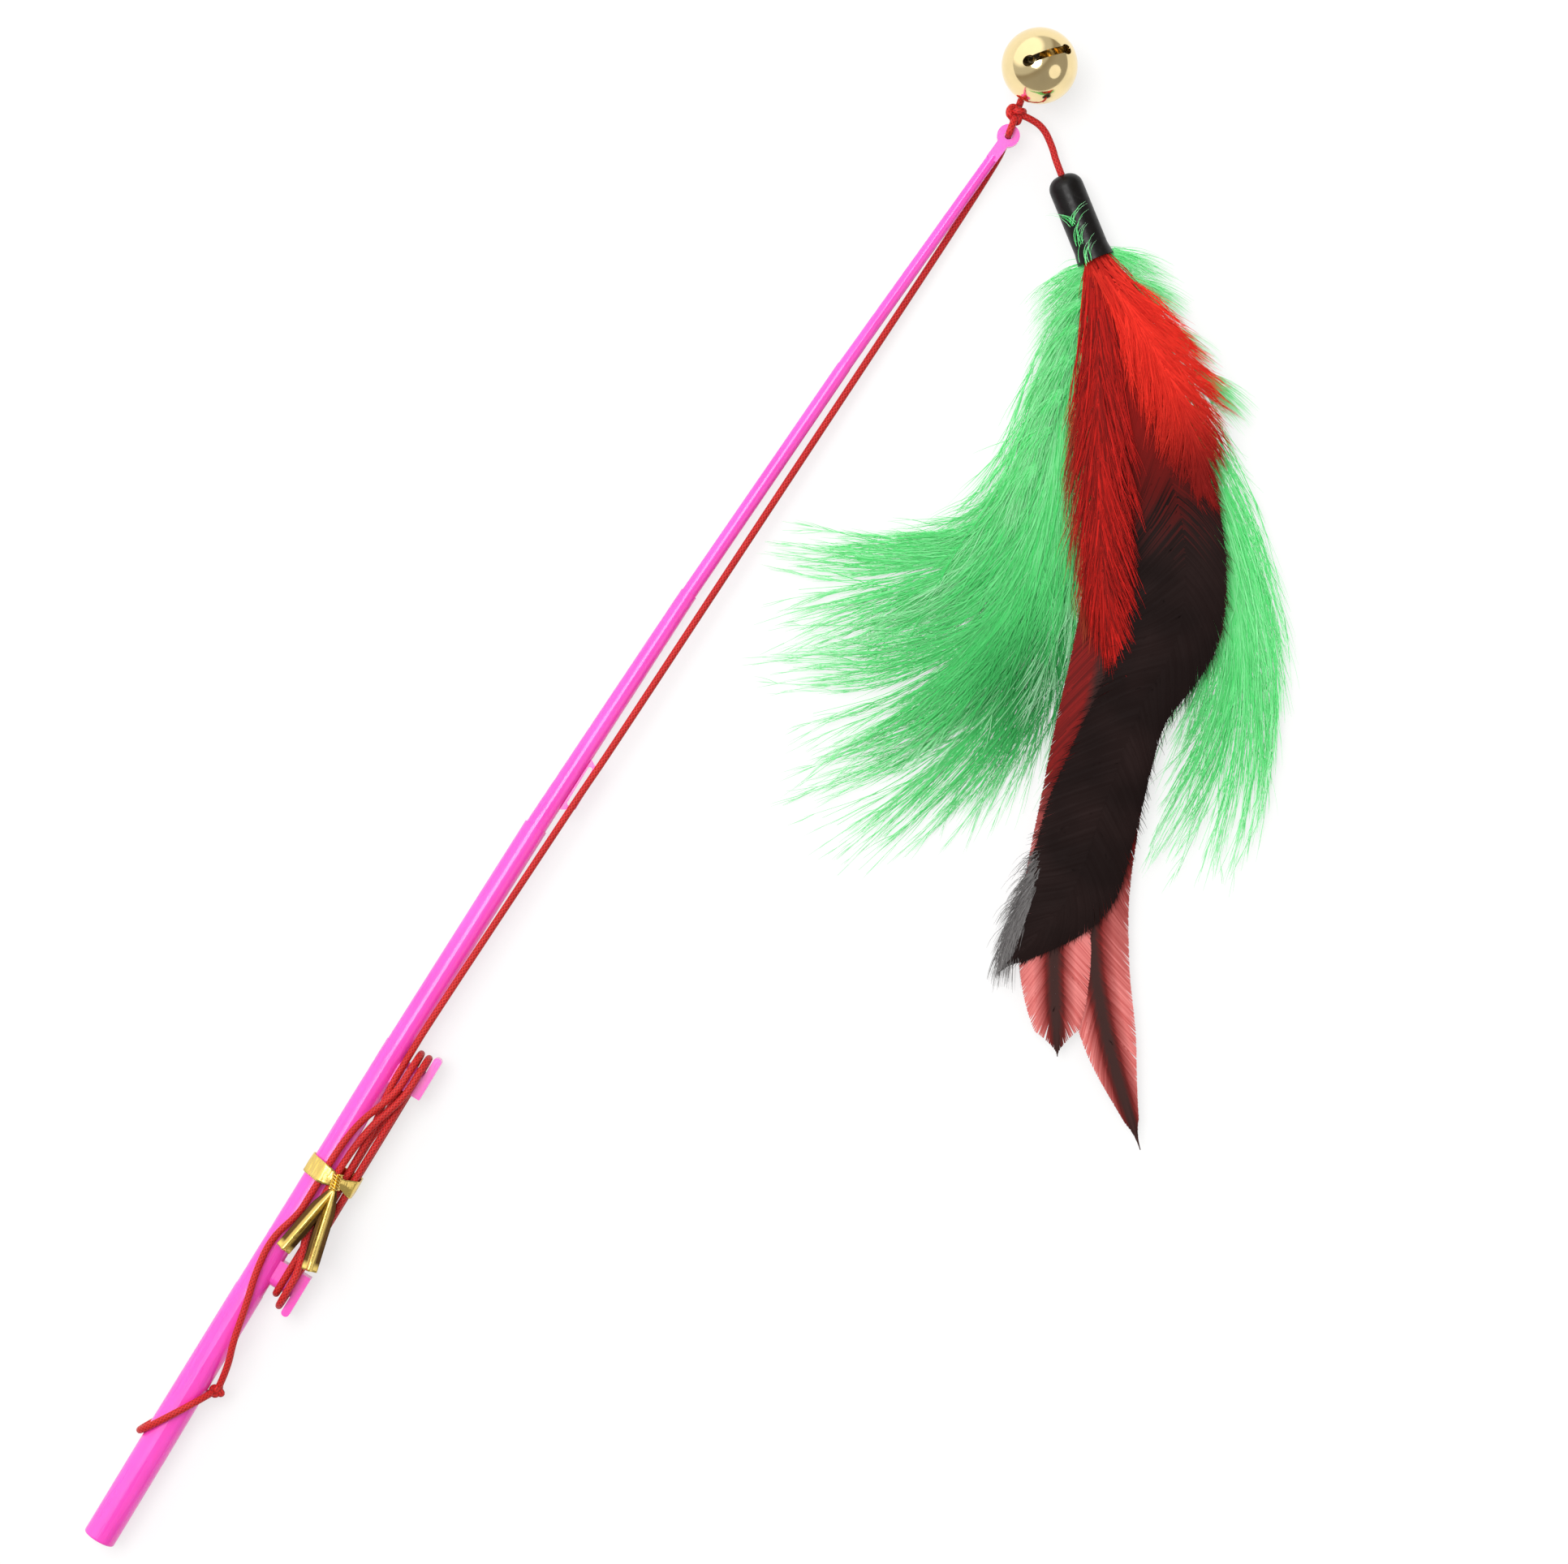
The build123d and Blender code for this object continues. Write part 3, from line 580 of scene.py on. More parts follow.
def tie_band(thickness, rows=150, columns=9):
    """Crinkled band round rod and hank, gathered where it is twisted."""
    random = np.random.default_rng(7)
    angles = np.linspace(0, 2 * pi, 1441)[:-1]
    normals = np.stack([np.cos(angles), np.sin(angles)], axis=1)
    centres = np.array([place for place, radius in TIE_BUNDLE])
    radii = np.array([radius for place, radius in TIE_BUNDLE])
    nearest = np.argmax(normals @ centres.T + radii, axis=1)
    outline = centres[nearest] + normals * (radii[nearest] + TIE_CLEARANCE)[:, None]
    outline = np.concatenate([outline, outline[:1]])
    normals = np.concatenate([normals, normals[:1]])
    run = run_along(outline)
    even = np.linspace(0, run[-1], rows, endpoint=False)
    line, out = at_places(even, run, outline), at_places(even, run, normals)
    across = np.linspace(-1, 1, columns)
    near_twist = np.exp(-(np.linalg.norm(line - GATHER_PLACE, axis=1) / GATHER_REACH) ** 2)
    half = TIE_HALF * (1 - 0.5 * near_twist)
    crinkle = np.zeros((rows, columns))
    for waves in CRINKLE_WAVES:
        lean, start = random.uniform(-2.5, 2.5), random.uniform(0, 2 * pi)
        crinkle += np.sin(2 * pi * waves * even[:, None] / run[-1] + lean * across + start)
    gather = GATHER_HEIGHT * near_twist[:, None] * (1 - np.abs(across))
    crinkle = CRINKLE_DEPTH * np.abs(crinkle) + gather
    grid = np.empty((rows, columns, 3))
    grid[..., 0] = line[:, None, 0] + out[:, None, 0] * crinkle
    grid[..., 1] = TIE_PLACE + half[:, None] * across
    grid[..., 2] = np.maximum(line[:, None, 1] + out[:, None, 1] * crinkle, cad_low.z + thickness)
    maps = [[(0.3, 0.1 * column / columns) for column in range(columns)]] * rows
    return ribbon("tie_band", grid, maps, thickness, closed=True)


def tie_twist(thickness, start_turn, turns=1.3, waist=0.0011, flare=0.0003, rows=28, columns=5):
    """One of the two strips that are twisted round each other."""
    low, high = np.array(TIE_TWIST)
    share = np.linspace(0, 1, rows)
    middle = low + (high - low) * share[:, None]
    way = unit(high - low)
    side = np.cross(way, (0, 0, 1))
    over = np.cross(side, way)
    turn = start_turn + share * turns * 2 * pi
    flat = side * np.cos(turn)[:, None] + over * np.sin(turn)[:, None]
    across = np.linspace(-1, 1, columns)
    half = waist + flare * np.abs(2 * share - 1)
    grid = middle[:, None] + flat[:, None] * (half[:, None] * across)[..., None]
    maps = [[(0.3, 0.2)] * columns] * rows
    return ribbon("tie_twist", grid, maps, thickness)


def tie_tail(end, width, thickness, rows=36, columns=13):
    """Tail of the ribbon, with its wire as a ridge along the middle."""
    narrow, opening, wire_width = 0.35, 0.3, 0.22
    wire_height, edge_drop, sag, ripple, curl = 0.0009, 0.0007, 0.0004, 0.00012, 0.0009
    start, end = np.array(TIE_TWIST[1]), np.array(end)
    share = np.linspace(0, 1, rows)
    across = np.linspace(-1, 1, columns)
    side = unit(np.cross((0, 0, 1), unit(end - start)))
    half = width / 2 * (narrow + (1 - narrow) * np.clip(share / opening, 0, 1) ** 0.7)
    ridge = wire_height * np.exp(-(across / wire_width) ** 2) - edge_drop * np.abs(across) ** 1.5
    bend = sag * np.sin(pi * share) + ripple * np.sin(9 * share + 2)
    grid = start + (end - start) * share[:, None, None] + side * (half[:, None] * across)[..., None]
    grid[..., 2] += bend[:, None] + ridge * np.clip(share / 0.2, 0.2, 1)[:, None] + curl * share[:, None] ** 6
    maps = [[(row / rows, abs(place)) for place in across] for row in range(rows)]
    return ribbon("tie_tail", grid, maps, thickness)


# Feathers, lowest first: shaft points and half widths to the left and right, all in millimetres
# along the cap and to its side, counted from the cap's mouth
FEATHERS = {
    "green_plume_back": ([(35.4, -20.8), (65.8, -37.8), (88.0, -59.9), (97.2, -85.5), (101.9, -112.3)],
                         [(9, 8), (12, 12), (14, 13), (11, 12)]),
    "green_plume_upper": ([(20.0, -17.6), (41.1, -32.1), (53.4, -47.9), (52.5, -70.4), (44.8, -98.4)],
                          [(7, 7), (10, 9), (12, 9), (11, 7)]),
    "green_plume_lower": ([(25.9, -18.6), (50.8, -33.7), (71.2, -55.1), (76.6, -80.2), (73.9, -107.1)],
                          [(8, 7), (12, 11), (14, 13), (12, 12)]),
    "green_plume_right": ([(35.2, 4.2), (70.2, 3.4), (102.3, -4.4), (125.7, -18.2), (142.4, -33.3)],
                          [(8, 9), (11, 12), (11, 13), (10, 12)]),
    "red_tail_long": ([(71.8, -18.0), (114.0, -42.1), (147.6, -61.3), (174.0, -67.5), (199.1, -69.9)],
                      [(8, 8), (8, 8), (9, 8), (7, 6)]),
    "red_tail_short": ([(70.0, -22.5), (112.7, -50.2), (144.3, -69.4), (171.3, -79.7)],
                       [(8, 8), (8, 8), (9, 8.5)]),
    "red_hackle_left": ([(23.5, -9.2), (50.1, -20.2), (75.8, -28.5), (99.2, -32.3)],
                        [(6.5, 6.5), (9, 8), (7, 7)]),
    "dark_feather": ([(38.7, -2.4), (68.5, -5.7), (89.4, -15.4), (103.6, -31.6),
                      (121.8, -48.2), (136.9, -62.2), (147.9, -85.0)],
                     [(8, 8), (9.5, 11.5), (10, 13), (6.5, 10.5), (9, 13), (10.5, 12)]),
    "red_hackle_right": ([(22.6, 4.1), (43.9, 5.2), (63.4, 2.1)], [(8, 7), (9, 8)]),
}
LAYER_STEP, MIDDLE_LAYER = 0.00065, 4
SHAFT_POINTS, EASING = 201, 11
ROOT_WIDTH, CLOSING_SHARE = 0.4, 0.03
QUILL_IN_CAP, TABLE_CLEARANCE = 0.004, 0.0002
# Place beside the dark feather round which the painted shade on the green is deepest
PAINTED_SHADE_CENTRE = (0.0898, 0.2852, -0.0030)


def even_line(points, count, fine=600):
    """Even points along a smooth line through the given ones."""
    points = np.array(points, float)
    knots = run_along(points)
    slopes = np.gradient(points, knots, axis=0)
    places = np.linspace(0, knots[-1], fine)
    part = np.clip(np.searchsorted(knots, places) - 1, 0, len(knots) - 2)
    gap = (knots[part + 1] - knots[part])[:, None]
    q = (places - knots[part])[:, None] / gap
    line = ((2 * q**3 - 3 * q**2 + 1) * points[part] + (q**3 - 2 * q**2 + q) * gap * slopes[part]
            + (3 * q**2 - 2 * q**3) * points[part + 1] + (q**3 - q**2) * gap * slopes[part + 1])
    run = run_along(line)
    return at_places(np.linspace(0, run[-1], count), run, line)


class Feather:
    """A feather's shaft, widths and height, from which its strands are laid out."""

    # Barbs: how uneven their places are, how much less they lean near the tip, how they curve,
    # their gap at the shaft, the part of it that the cap's mouth feeds, and how often they wave
    unevenness, less_lean, sweep = 0.3, 0.55, 0.85
    root_gap, mouth_part, waves = 0.0001, 0.15, (0.6, 1.6)
    # Fluff: its last place on a barb, how it bends back to the barb's way, the part of the shaft where it
    # gets shorter and by how much, and the length that counts as one on the map
    last_place, bend_back, short_part, shortening, map_length = 0.97, 0.45, 0.6, 0.5, 0.03
    # Tufts: how wide their roots are, the share of the turn that they end at, their bend and their map
    root_spread, end_turn, tuft_bend, tuft_map = 0.0007, 0.55, 0.4, (0.4, 1.1)
    # Strands: how much they thin out, how much they differ, and their depth against their width
    thinning, variety, depth = 0.8, (0.7, 1.3), 0.5

    def __init__(self, name, rise, seed, tip=0.3, flare=0.0, blunt=1.0):
        shaft, widths = FEATHERS[name]
        self.random = np.random.default_rng(seed)
        self.line = even_line([(0, 0), *shaft], SHAFT_POINTS) * MM
        self.length = steps(self.line).sum()
        self.ways = unit(np.gradient(self.line, axis=0))
        self.shares = np.linspace(0, 1, SHAFT_POINTS)
        near = [np.argmin(np.linalg.norm(self.line - np.array(point) * MM, axis=1)) for point in shaft[:-1]]
        stations = [0, *self.shares[near]]
        window = np.hanning(2 * EASING + 1)
        end = np.clip((self.shares - stations[-1]) / (1 - stations[-1]), 0, 1)
        rounding = (np.sqrt(1 - end**2) - (1 - end)) * (blunt - 1)
        closing = np.clip((1 - self.shares) / CLOSING_SHARE, 0, 1) if tip < 1 else 1
        self.widths = []
        for side in range(2):
            sizes = [ROOT_WIDTH, *(pair[side] for pair in widths), tip]
            rough = np.interp(self.shares, [*stations, 1], sizes) * MM
            eased = np.convolve(np.pad(rough, EASING, "edge"), window / window.sum(), "valid")
            round_end = (widths[-1][side] - tip) * MM * rounding
            self.widths.append((eased + round_end) * closing * (1 + flare * self.shares**2))
        self.height = (list(FEATHERS).index(name) - MIDDLE_LAYER) * LAYER_STEP
        self.rise = rise
        self.groups = []

    def at(self, share, outward):
        """Places beside the shaft, and past its tip straight on."""
        kept = np.clip(share, 0, 1)
        middle = at_places(kept, self.shares, self.line)
        way = unit(at_places(kept, self.shares, self.ways))
        left = np.stack([-way[..., 1], way[..., 0]], axis=-1)
        return middle + way * ((share - kept) * self.length)[..., None] + left * outward[..., None]

    def lift(self, share):
        """Height of the shaft, which bows up or down between its ends."""
        return self.height + self.rise * np.sin(pi * np.clip(share, 0, 1))

    def thinned(self, width, count, along):
        """Widths of fine strands, which thin out towards their ends."""
        return width * (1 - self.thinning * along**1.5) * self.random.uniform(*self.variety, (count, 1))

    def add(self, lines, widths, maps):
        """Keep strands for the mesh."""
        self.groups.append((lines, widths, maps, self.random.random(len(lines))))

    def shaft(self, base, tip, points=48, reach=0.97):
        """The quill, from inside the cap to just before the feather's tip."""
        share = np.linspace(0, reach, points)
        flat = self.at(share, np.zeros(points))
        flat[0] = (-QUILL_IN_CAP, 0)
        line = np.column_stack([flat, self.lift(share) - base / 4])
        maps = np.column_stack([share, np.zeros(points)])
        self.add(line[None], np.linspace(base, tip, points)[None], maps[None])

    def barbs(self, count, width, lean, reach, span=(0.03, 0.96), power=(0.8, 0.8), points=8, taper=0.7,
              puff=0.0, clump=0.0, group=5, camber=0.0, wave=0.0, mouth=0.0, rough=0.00012, end=0.01,
              sides=(1, -1)):
        """Barbs beside the shaft that leave it, or the cap's mouth, and sweep towards its tip."""
        random = self.random
        out = np.linspace(0, 1, points)
        made = []
        for side in sides:
            start = np.linspace(*span, count) + random.normal(0, self.unevenness / count, count)
            far = start + random.uniform(*lean, count) * (1 - self.less_lean * start)
            far = np.minimum(far, 1 + end * random.random(count))
            wide = np.interp(far, self.shares, self.widths[0 if side > 0 else 1])
            wide = wide * random.uniform(*reach, count)
            share = start[:, None] + (far - start)[:, None] * out**self.sweep
            bend = random.uniform(*power, (count, 1))
            spread = mouth * random.random(count) * np.clip(1 - start / self.mouth_part, 0, 1)
            root = self.root_gap + spread
            flat = self.at(share, side * (wide[:, None] * out**bend + root[:, None] * (1 - out)))
            for first in range(0, count, group):
                bunch = flat[first:first + group]
                bunch += (bunch.mean(axis=0) - bunch) * clump * (out**2)[:, None]
            swing = random.normal(0, wave, (count, 1))
            swing = swing * np.sin(pi * out * random.uniform(*self.waves, (count, 1)))
            flat += swing[..., None] * random.normal(0, 1, (count, 1, 2))
            height = self.lift(share) - camber * out**2
            height += puff * random.normal(0, 1, (count, 1)) * out**0.7 + rough * random.random((count, 1))
            lines = np.concatenate([flat, height[..., None]], axis=-1)
            across = np.clip(wide / np.max(self.widths), 0, 1)[:, None] * out
            maps = np.stack([share, side * across], axis=-1)
            self.add(lines, width * (1 - taper * out**3) * random.uniform(0.8, 1.2, (count, 1)), maps)
            made.append((lines, maps))
        return [np.concatenate(parts) for parts in zip(*made)]

    def fluff(self, lines, maps, count, width, length, spread, puff=0.0005, points=4, from_out=0.0):
        """Fine strands that leave the barbs at narrow angles and end in the air."""
        random = self.random
        pick = random.integers(0, len(lines), count)
        along = random.uniform(from_out, self.last_place, count) * (lines.shape[1] - 1)
        low = along.astype(int)
        rest = (along - low)[:, None]
        start, place = [row[pick, low] * (1 - rest) + row[pick, low + 1] * rest for row in (lines, maps)]
        way = unit(lines[pick, low + 1] - lines[pick, low])
        turn = random.normal(0, spread, count)
        aside = np.stack([way[:, 0] * np.cos(turn) - way[:, 1] * np.sin(turn),
                          way[:, 0] * np.sin(turn) + way[:, 1] * np.cos(turn), way[:, 2]], axis=1)
        q = np.linspace(0, 1, points)
        shorter = self.shortening * np.clip((place[:, :1] - self.short_part) / (1 - self.short_part), 0, 1)
        size = random.uniform(*length, (count, 1)) * (1 - shorter)
        bow = aside[:, None] * q[:, None] + (way - aside)[:, None] * self.bend_back * q[:, None] ** 2
        line = start[:, None] + bow * size[..., None]
        line[..., 2] += random.normal(0, puff, (count, 1)) * q**1.5
        map_out = place[:, 1:] + np.sign(place[:, 1:]) * q * size / self.map_length
        places = np.stack([np.broadcast_to(place[:, :1], map_out.shape), map_out], axis=-1)
        self.add(line, self.thinned(width, count, q), places)

    def tufts(self, roots, count, width, length, spread, puff, height, points=6):
        """Loose strands in tufts: each root is a place, a direction in degrees and a share of the strands."""
        random = self.random
        q = np.linspace(0, 1, points)
        for along, across, angle, share in roots:
            few = int(count * share)
            turn = np.radians(angle) + random.normal(0, spread, few)
            way = np.stack([np.cos(turn), np.sin(turn)], axis=1)[:, None]
            end = radians(angle * self.end_turn)
            ahead = np.array([cos(end), sin(end)])
            size = random.uniform(*length, (few, 1, 1))
            start = np.array([along, across]) * MM + random.normal(0, self.root_spread, (few, 1, 2))
            flat = start + (way * q[:, None] + (ahead - way) * self.tuft_bend * q[:, None] ** 2) * size
            lift = height + random.normal(0, puff, (few, 1)) * q
            lines = np.concatenate([flat, lift[..., None]], axis=-1)
            map_out = np.broadcast_to(np.linspace(*self.tuft_map, points), (few, points))
            maps = np.stack([np.zeros((few, points)), map_out], axis=-1)
            self.add(lines, self.thinned(width, few, q), maps)

    def mesh(self, name):
        """All strands as one piece: three-sided, closed, with a map along and out and a tone each."""
        points, quads, ends, maps, tones = [], [], [], [], []
        first = 0
        for lines, widths, places, tone in self.groups:
            lines = lines.copy()
            lines[..., 2] = np.maximum(lines[..., 2], cad_low.z - CAP_MOUTH.z + TABLE_CLEARANCE)
            ways = unit(np.gradient(lines, axis=1))
            flat = unit(np.cross(ways, (0.0, 0.0, 1.0)))
            over = np.cross(flat, ways)
            half = (widths / 2)[..., None]
            edges = [lines + flat * half, lines - flat * half, lines - over * half * self.depth]
            ring = np.stack(edges, axis=2)
            points.append(ring.reshape(-1, 3))
            maps.append(np.repeat(places.reshape(-1, 2), 3, axis=0))
            tones.append(np.repeat(tone, ring.shape[1] * 3))
            index = first + np.arange(ring.size // 3).reshape(ring.shape[:3])
            turned = np.roll(index, -1, axis=2)
            sides = [index[:, :-1], index[:, 1:], turned[:, 1:], turned[:, :-1]]
            quads.append(np.stack(sides, axis=-1).reshape(-1, 4))
            ends.append(np.concatenate([index[:, 0], index[:, -1, ::-1]]))
            first += index.size
        points = np.concatenate(points) @ np.array([CAP_WAY, CAP_SIDE, (0, 0, 1)]) + np.array(CAP_MOUTH)
        quads, ends = np.concatenate(quads), np.concatenate(ends)
        corners = np.concatenate([quads.ravel(), ends.ravel()])
        starts = np.concatenate([np.arange(len(quads)) * 4, quads.size + np.arange(len(ends)) * 3])
        mesh = bpy.data.meshes.new(name)
        mesh.vertices.add(len(points))
        mesh.vertices.foreach_set("co", points.astype(np.float32).ravel())
        mesh.loops.add(len(corners))
        mesh.loops.foreach_set("vertex_index", corners.astype(np.int32))
        mesh.polygons.add(len(starts))
        mesh.polygons.foreach_set("loop_start", starts.astype(np.int32))
        mesh.update(calc_edges=True)
        places = np.concatenate(maps)[corners]
        mesh.uv_layers.new(name="along_and_out").data.foreach_set("uv", places.astype(np.float32).ravel())
        tones = np.concatenate(tones).astype(np.float32)
        mesh.attributes.new("tone", "FLOAT", "POINT").data.foreach_set("value", tones)
        mesh.shade_flat()
        return placed(name, mesh)


class StrandFinish(Finish):
    """A finish for strands: it knows their place along the shaft and out from it, and each one's tone."""

    def __init__(self, name):
        super().__init__(name)
        place = self.node("SeparateXYZ", {"Vector": self.coordinates["UV"]})
        self.along, self.outward = place["X"], place["Y"]
        self.distance = self.sums("ABSOLUTE", self.outward)
        self.tone = self.node("Attribute", {}, attribute_name="tone")["Fac"]

    def dye(self, tint, light_through=0.0):
        """Colour the strands, and let a share of light through them from behind."""
        self.link(tint, "Base Color")
        if light_through:
            self.add_shader(self.node("BsdfTranslucent", {"Color": tint}), light_through)
        return self.material


def green_finish(colours):
    """Dyed down with painted shade that darkens the green in two steps beside the dark feather, and paler
    towards the strands' thin ends.
    """
    finish = StrandFinish("green_down").set(Roughness=0.8, Sheen_Weight=0.1, Specular_IOR_Level=0.12)
    pale = toward(colours.green, (0.55, 1.0, 0.65), 0.50)
    body = finish.mix(finish.tone, shade(colours.green, 0.85), pale)
    # Painted shade: the green darkens in two steps towards a place beside the dark feather
    ends = {0: finish.coordinates["Object"], 1: PAINTED_SHADE_CENTRE}
    away = finish.node("VectorMath", ends, operation="DISTANCE")["Value"]
    painted_shade = finish.mix(finish.ramp(away, (0.014, 0.85), (0.055, 0.0)), body, shade(colours.green, 0.62))
    painted_deep_shade = finish.mix(finish.ramp(away, (0.005, 0.65), (0.022, 0.0)), painted_shade, shade(colours.green, 0.25))
    thin = finish.sums("MAXIMUM", finish.ramp(finish.distance, (0.80, 0.0), (1.0, 0.5)),
                       finish.ramp(finish.along, (0.86, 0.0), (1.0, 0.45)))
    return finish.dye(finish.mix(thin, painted_deep_shade, (0.60, 0.97, 0.68)), light_through=0.12)


def bright_hackle_finish(colours):
    """Bright red hackle that deepens towards its tip."""
    finish = StrandFinish("bright_hackle").set(Roughness=0.7, Sheen_Weight=0.04, Specular_IOR_Level=0.12)
    pale = toward(colours.bright_red, (1, 0.08, 0.04), 0.4)
    body = finish.mix(finish.tone, shade(colours.bright_red, 0.65), pale)
    deep = finish.ramp(finish.along, (0.04, 0.35), (0.20, 0.0), (0.55, 0.10), (0.85, 0.9))
    return finish.dye(finish.mix(deep, body, shade(colours.dark_red, 0.55)), light_through=0.1)


def dark_hackle_finish(colours):
    """Deep red hackle with a browner fringe on its left."""
    finish = StrandFinish("dark_hackle").set(Roughness=0.7, Sheen_Weight=0.03, Specular_IOR_Level=0.12)
    pale = toward(colours.dark_red, colours.bright_red, 0.45)
    body = finish.mix(finish.tone, shade(colours.dark_red, 0.45), pale)
    fringe = finish.ramp(finish.sums("MULTIPLY", finish.outward, -1.0), (0.55, 0.0), (1.0, 0.65))
    return finish.dye(finish.mix(fringe, body, (0.19, 0.10, 0.035)), light_through=0.1)


def dark_vane_finish(colours):
    """Dark vane that grows out of red, with a painted satin sheen and fine barb lines."""
    finish = StrandFinish("dark_vane").set(Specular_IOR_Level=0.06)
    # Painted sheen: noise patches between a dull and a lighter copy of the dark colour stand in for
    # highlights
    dull, satin = shade(colours.dark, 0.6), shade(colours.dark, 1.3)
    sheen = finish.ramp(finish.noise(55.0, 2), (0.40, dull), (0.75, satin))
    body = finish.mix(finish.sums("MULTIPLY", finish.tone, 0.35), sheen, shade(colours.dark, 0.5))
    ragged = finish.sums("ADD", finish.along, finish.sums("MULTIPLY", finish.tone, 0.10))
    edge = finish.sums("MULTIPLY", finish.ramp(finish.outward, (0.72, 0.0), (1.0, 0.7)),
                       finish.ramp(finish.along, (0.30, 1.0), (0.66, 0.0)))
    reddened = finish.sums("MAXIMUM", finish.ramp(ragged, (0.24, 1.0), (0.42, 0.0)), edge)
    red = finish.mix(finish.tone, shade(colours.dark_red, 0.45), colours.dark_red)
    finish.link(finish.ramp(finish.tone, (0.0, 0.55), (1.0, 0.75)), "Roughness")
    return finish.dye(finish.mix(reddened, body, red))


def fringe_finish():
    """Grey down at the dark feather's tip."""
    finish = StrandFinish("grey_fringe").set(Roughness=0.8, Specular_IOR_Level=0.2)
    return finish.dye(finish.ramp(finish.tone, (0.0, (0.06, 0.055, 0.055)), (1.0, (0.26, 0.25, 0.25))))


def tail_finish(colours):
    """Thin rosy vane with a dark middle."""
    finish = StrandFinish("tail_vane").set(Roughness=0.6, Specular_IOR_Level=0.15)
    pale = toward(colours.rose, (0.95, 0.42, 0.40), 0.45)
    inner = finish.mix(finish.tone, shade(colours.dark_red, 0.35), shade(colours.dark_red, 0.75))
    outer = finish.mix(finish.tone, shade(colours.rose, 0.85), pale)
    open_end = finish.sums("MULTIPLY", finish.ramp(finish.distance, (0.15, 0.0), (0.50, 1.0)),
                           finish.ramp(finish.along, (0.66, 0.0), (0.84, 1.0)))
    vane = finish.mix(open_end, inner, outer)
    middle = finish.ramp(finish.distance, (0.05, 1.0), (0.22, 0.0))
    return finish.dye(finish.mix(middle, vane, (0.045, 0.016, 0.014)), light_through=0.1)


class WAND_OT_stage(bpy.types.Operator):
    """Set up the table, the lamps and the camera that looks straight down"""

    bl_idname = "wand.stage"
    bl_label = "Stage"

    # Lamps: name, place beside the picture's centre, height, size and power
    lamps = [
        ("key", PICTURE_UP * 0.22 - PICTURE_RIGHT * 0.28, 1.20, 0.80, 9.9),
        ("fill", PICTURE_RIGHT * 0.95 - PICTURE_UP * 0.35, 0.80, 0.90, 1.5),
    ]
    # Surroundings: bright towards the picture's upper left, tan and dimmer towards the other side
    bright_side = PICTURE_UP * 0.62 - PICTURE_RIGHT * 0.60 + Vector((0, 0, 0.50))
    surroundings = [
        (0.0, (0.62, 0.60, 0.57)),
        (0.30, (0.52, 0.47, 0.40)),
        (0.42, (0.95, 0.94, 0.92)),
        (0.64, (1.0, 1.0, 1.0)),
        (0.78, (2.2, 2.2, 2.15)),
    ]
    strength = 0.62

    def lay_table(self):
        """A white table just below the wand."""
        clear_selection()
        bpy.ops.mesh.primitive_plane_add(size=6, location=(0, 0, cad_low.z - TABLE_CLEARANCE))
        floor = bpy.context.object
        floor.name = "table"
        give_finish(floor, floor_finish())

    def set_camera(self, scene):
        """A long lens that looks straight down on the picture's centre."""
        lens = bpy.data.cameras.new("camera")
        lens.lens = 100
        lens.clip_end = 20
        distance = PICTURE_WIDTH * lens.lens / lens.sensor_width
        turn = Matrix((PICTURE_RIGHT, PICTURE_UP, (0, 0, 1))).transposed().to_4x4()
        scene.camera = placed("camera", lens)
        scene.camera.matrix_world = Matrix.Translation(PICTURE_CENTRE + Vector((0, 0, distance))) @ turn

    def set_lamps(self):
        """Round soft lamps that face the picture's centre."""
        for name, aside, height, size, power in self.lamps:
            light = bpy.data.lights.new(name, "AREA")
            light.shape = "DISK"
            light.size = size
            light.energy = power
            lamp = placed(name, light)
            lamp.location = PICTURE_CENTRE + aside + Vector((0, 0, height))
            lamp.rotation_euler = (PICTURE_CENTRE - lamp.location).to_track_quat("-Z", "Y").to_euler()

    def set_world(self, scene):
        """Surroundings that the shiny pieces mirror."""
        scene.world = bpy.data.worlds.new("studio")
        scene.world.use_nodes = True
        tree = scene.world.node_tree
        background = tree.nodes["Background"].inputs
        background["Strength"].default_value = self.strength
        coordinates = tree.nodes.new("ShaderNodeTexCoord")
        facing = tree.nodes.new("ShaderNodeVectorMath")
        facing.operation = "DOT_PRODUCT"
        facing.inputs[1].default_value = self.bright_side.normalized()
        ramp = tree.nodes.new("ShaderNodeValToRGB")
        elements = ramp.color_ramp.elements
        elements.remove(elements[-1])
        for place, colour in self.surroundings[1:]:
            elements.new(place)
        for element, (place, colour) in zip(elements, self.surroundings):
            element.color = four(colour)
        tree.links.new(coordinates.outputs["Generated"], facing.inputs[0])
        tree.links.new(facing.outputs["Value"], ramp.inputs[0])
        tree.links.new(ramp.outputs[0], background["Color"])

    def execute(self, context):
        context.scene.view_settings.view_transform = "Standard"
        self.lay_table()
        self.set_camera(context.scene)
        self.set_lamps()
        self.set_world(context.scene)
        return {"FINISHED"}


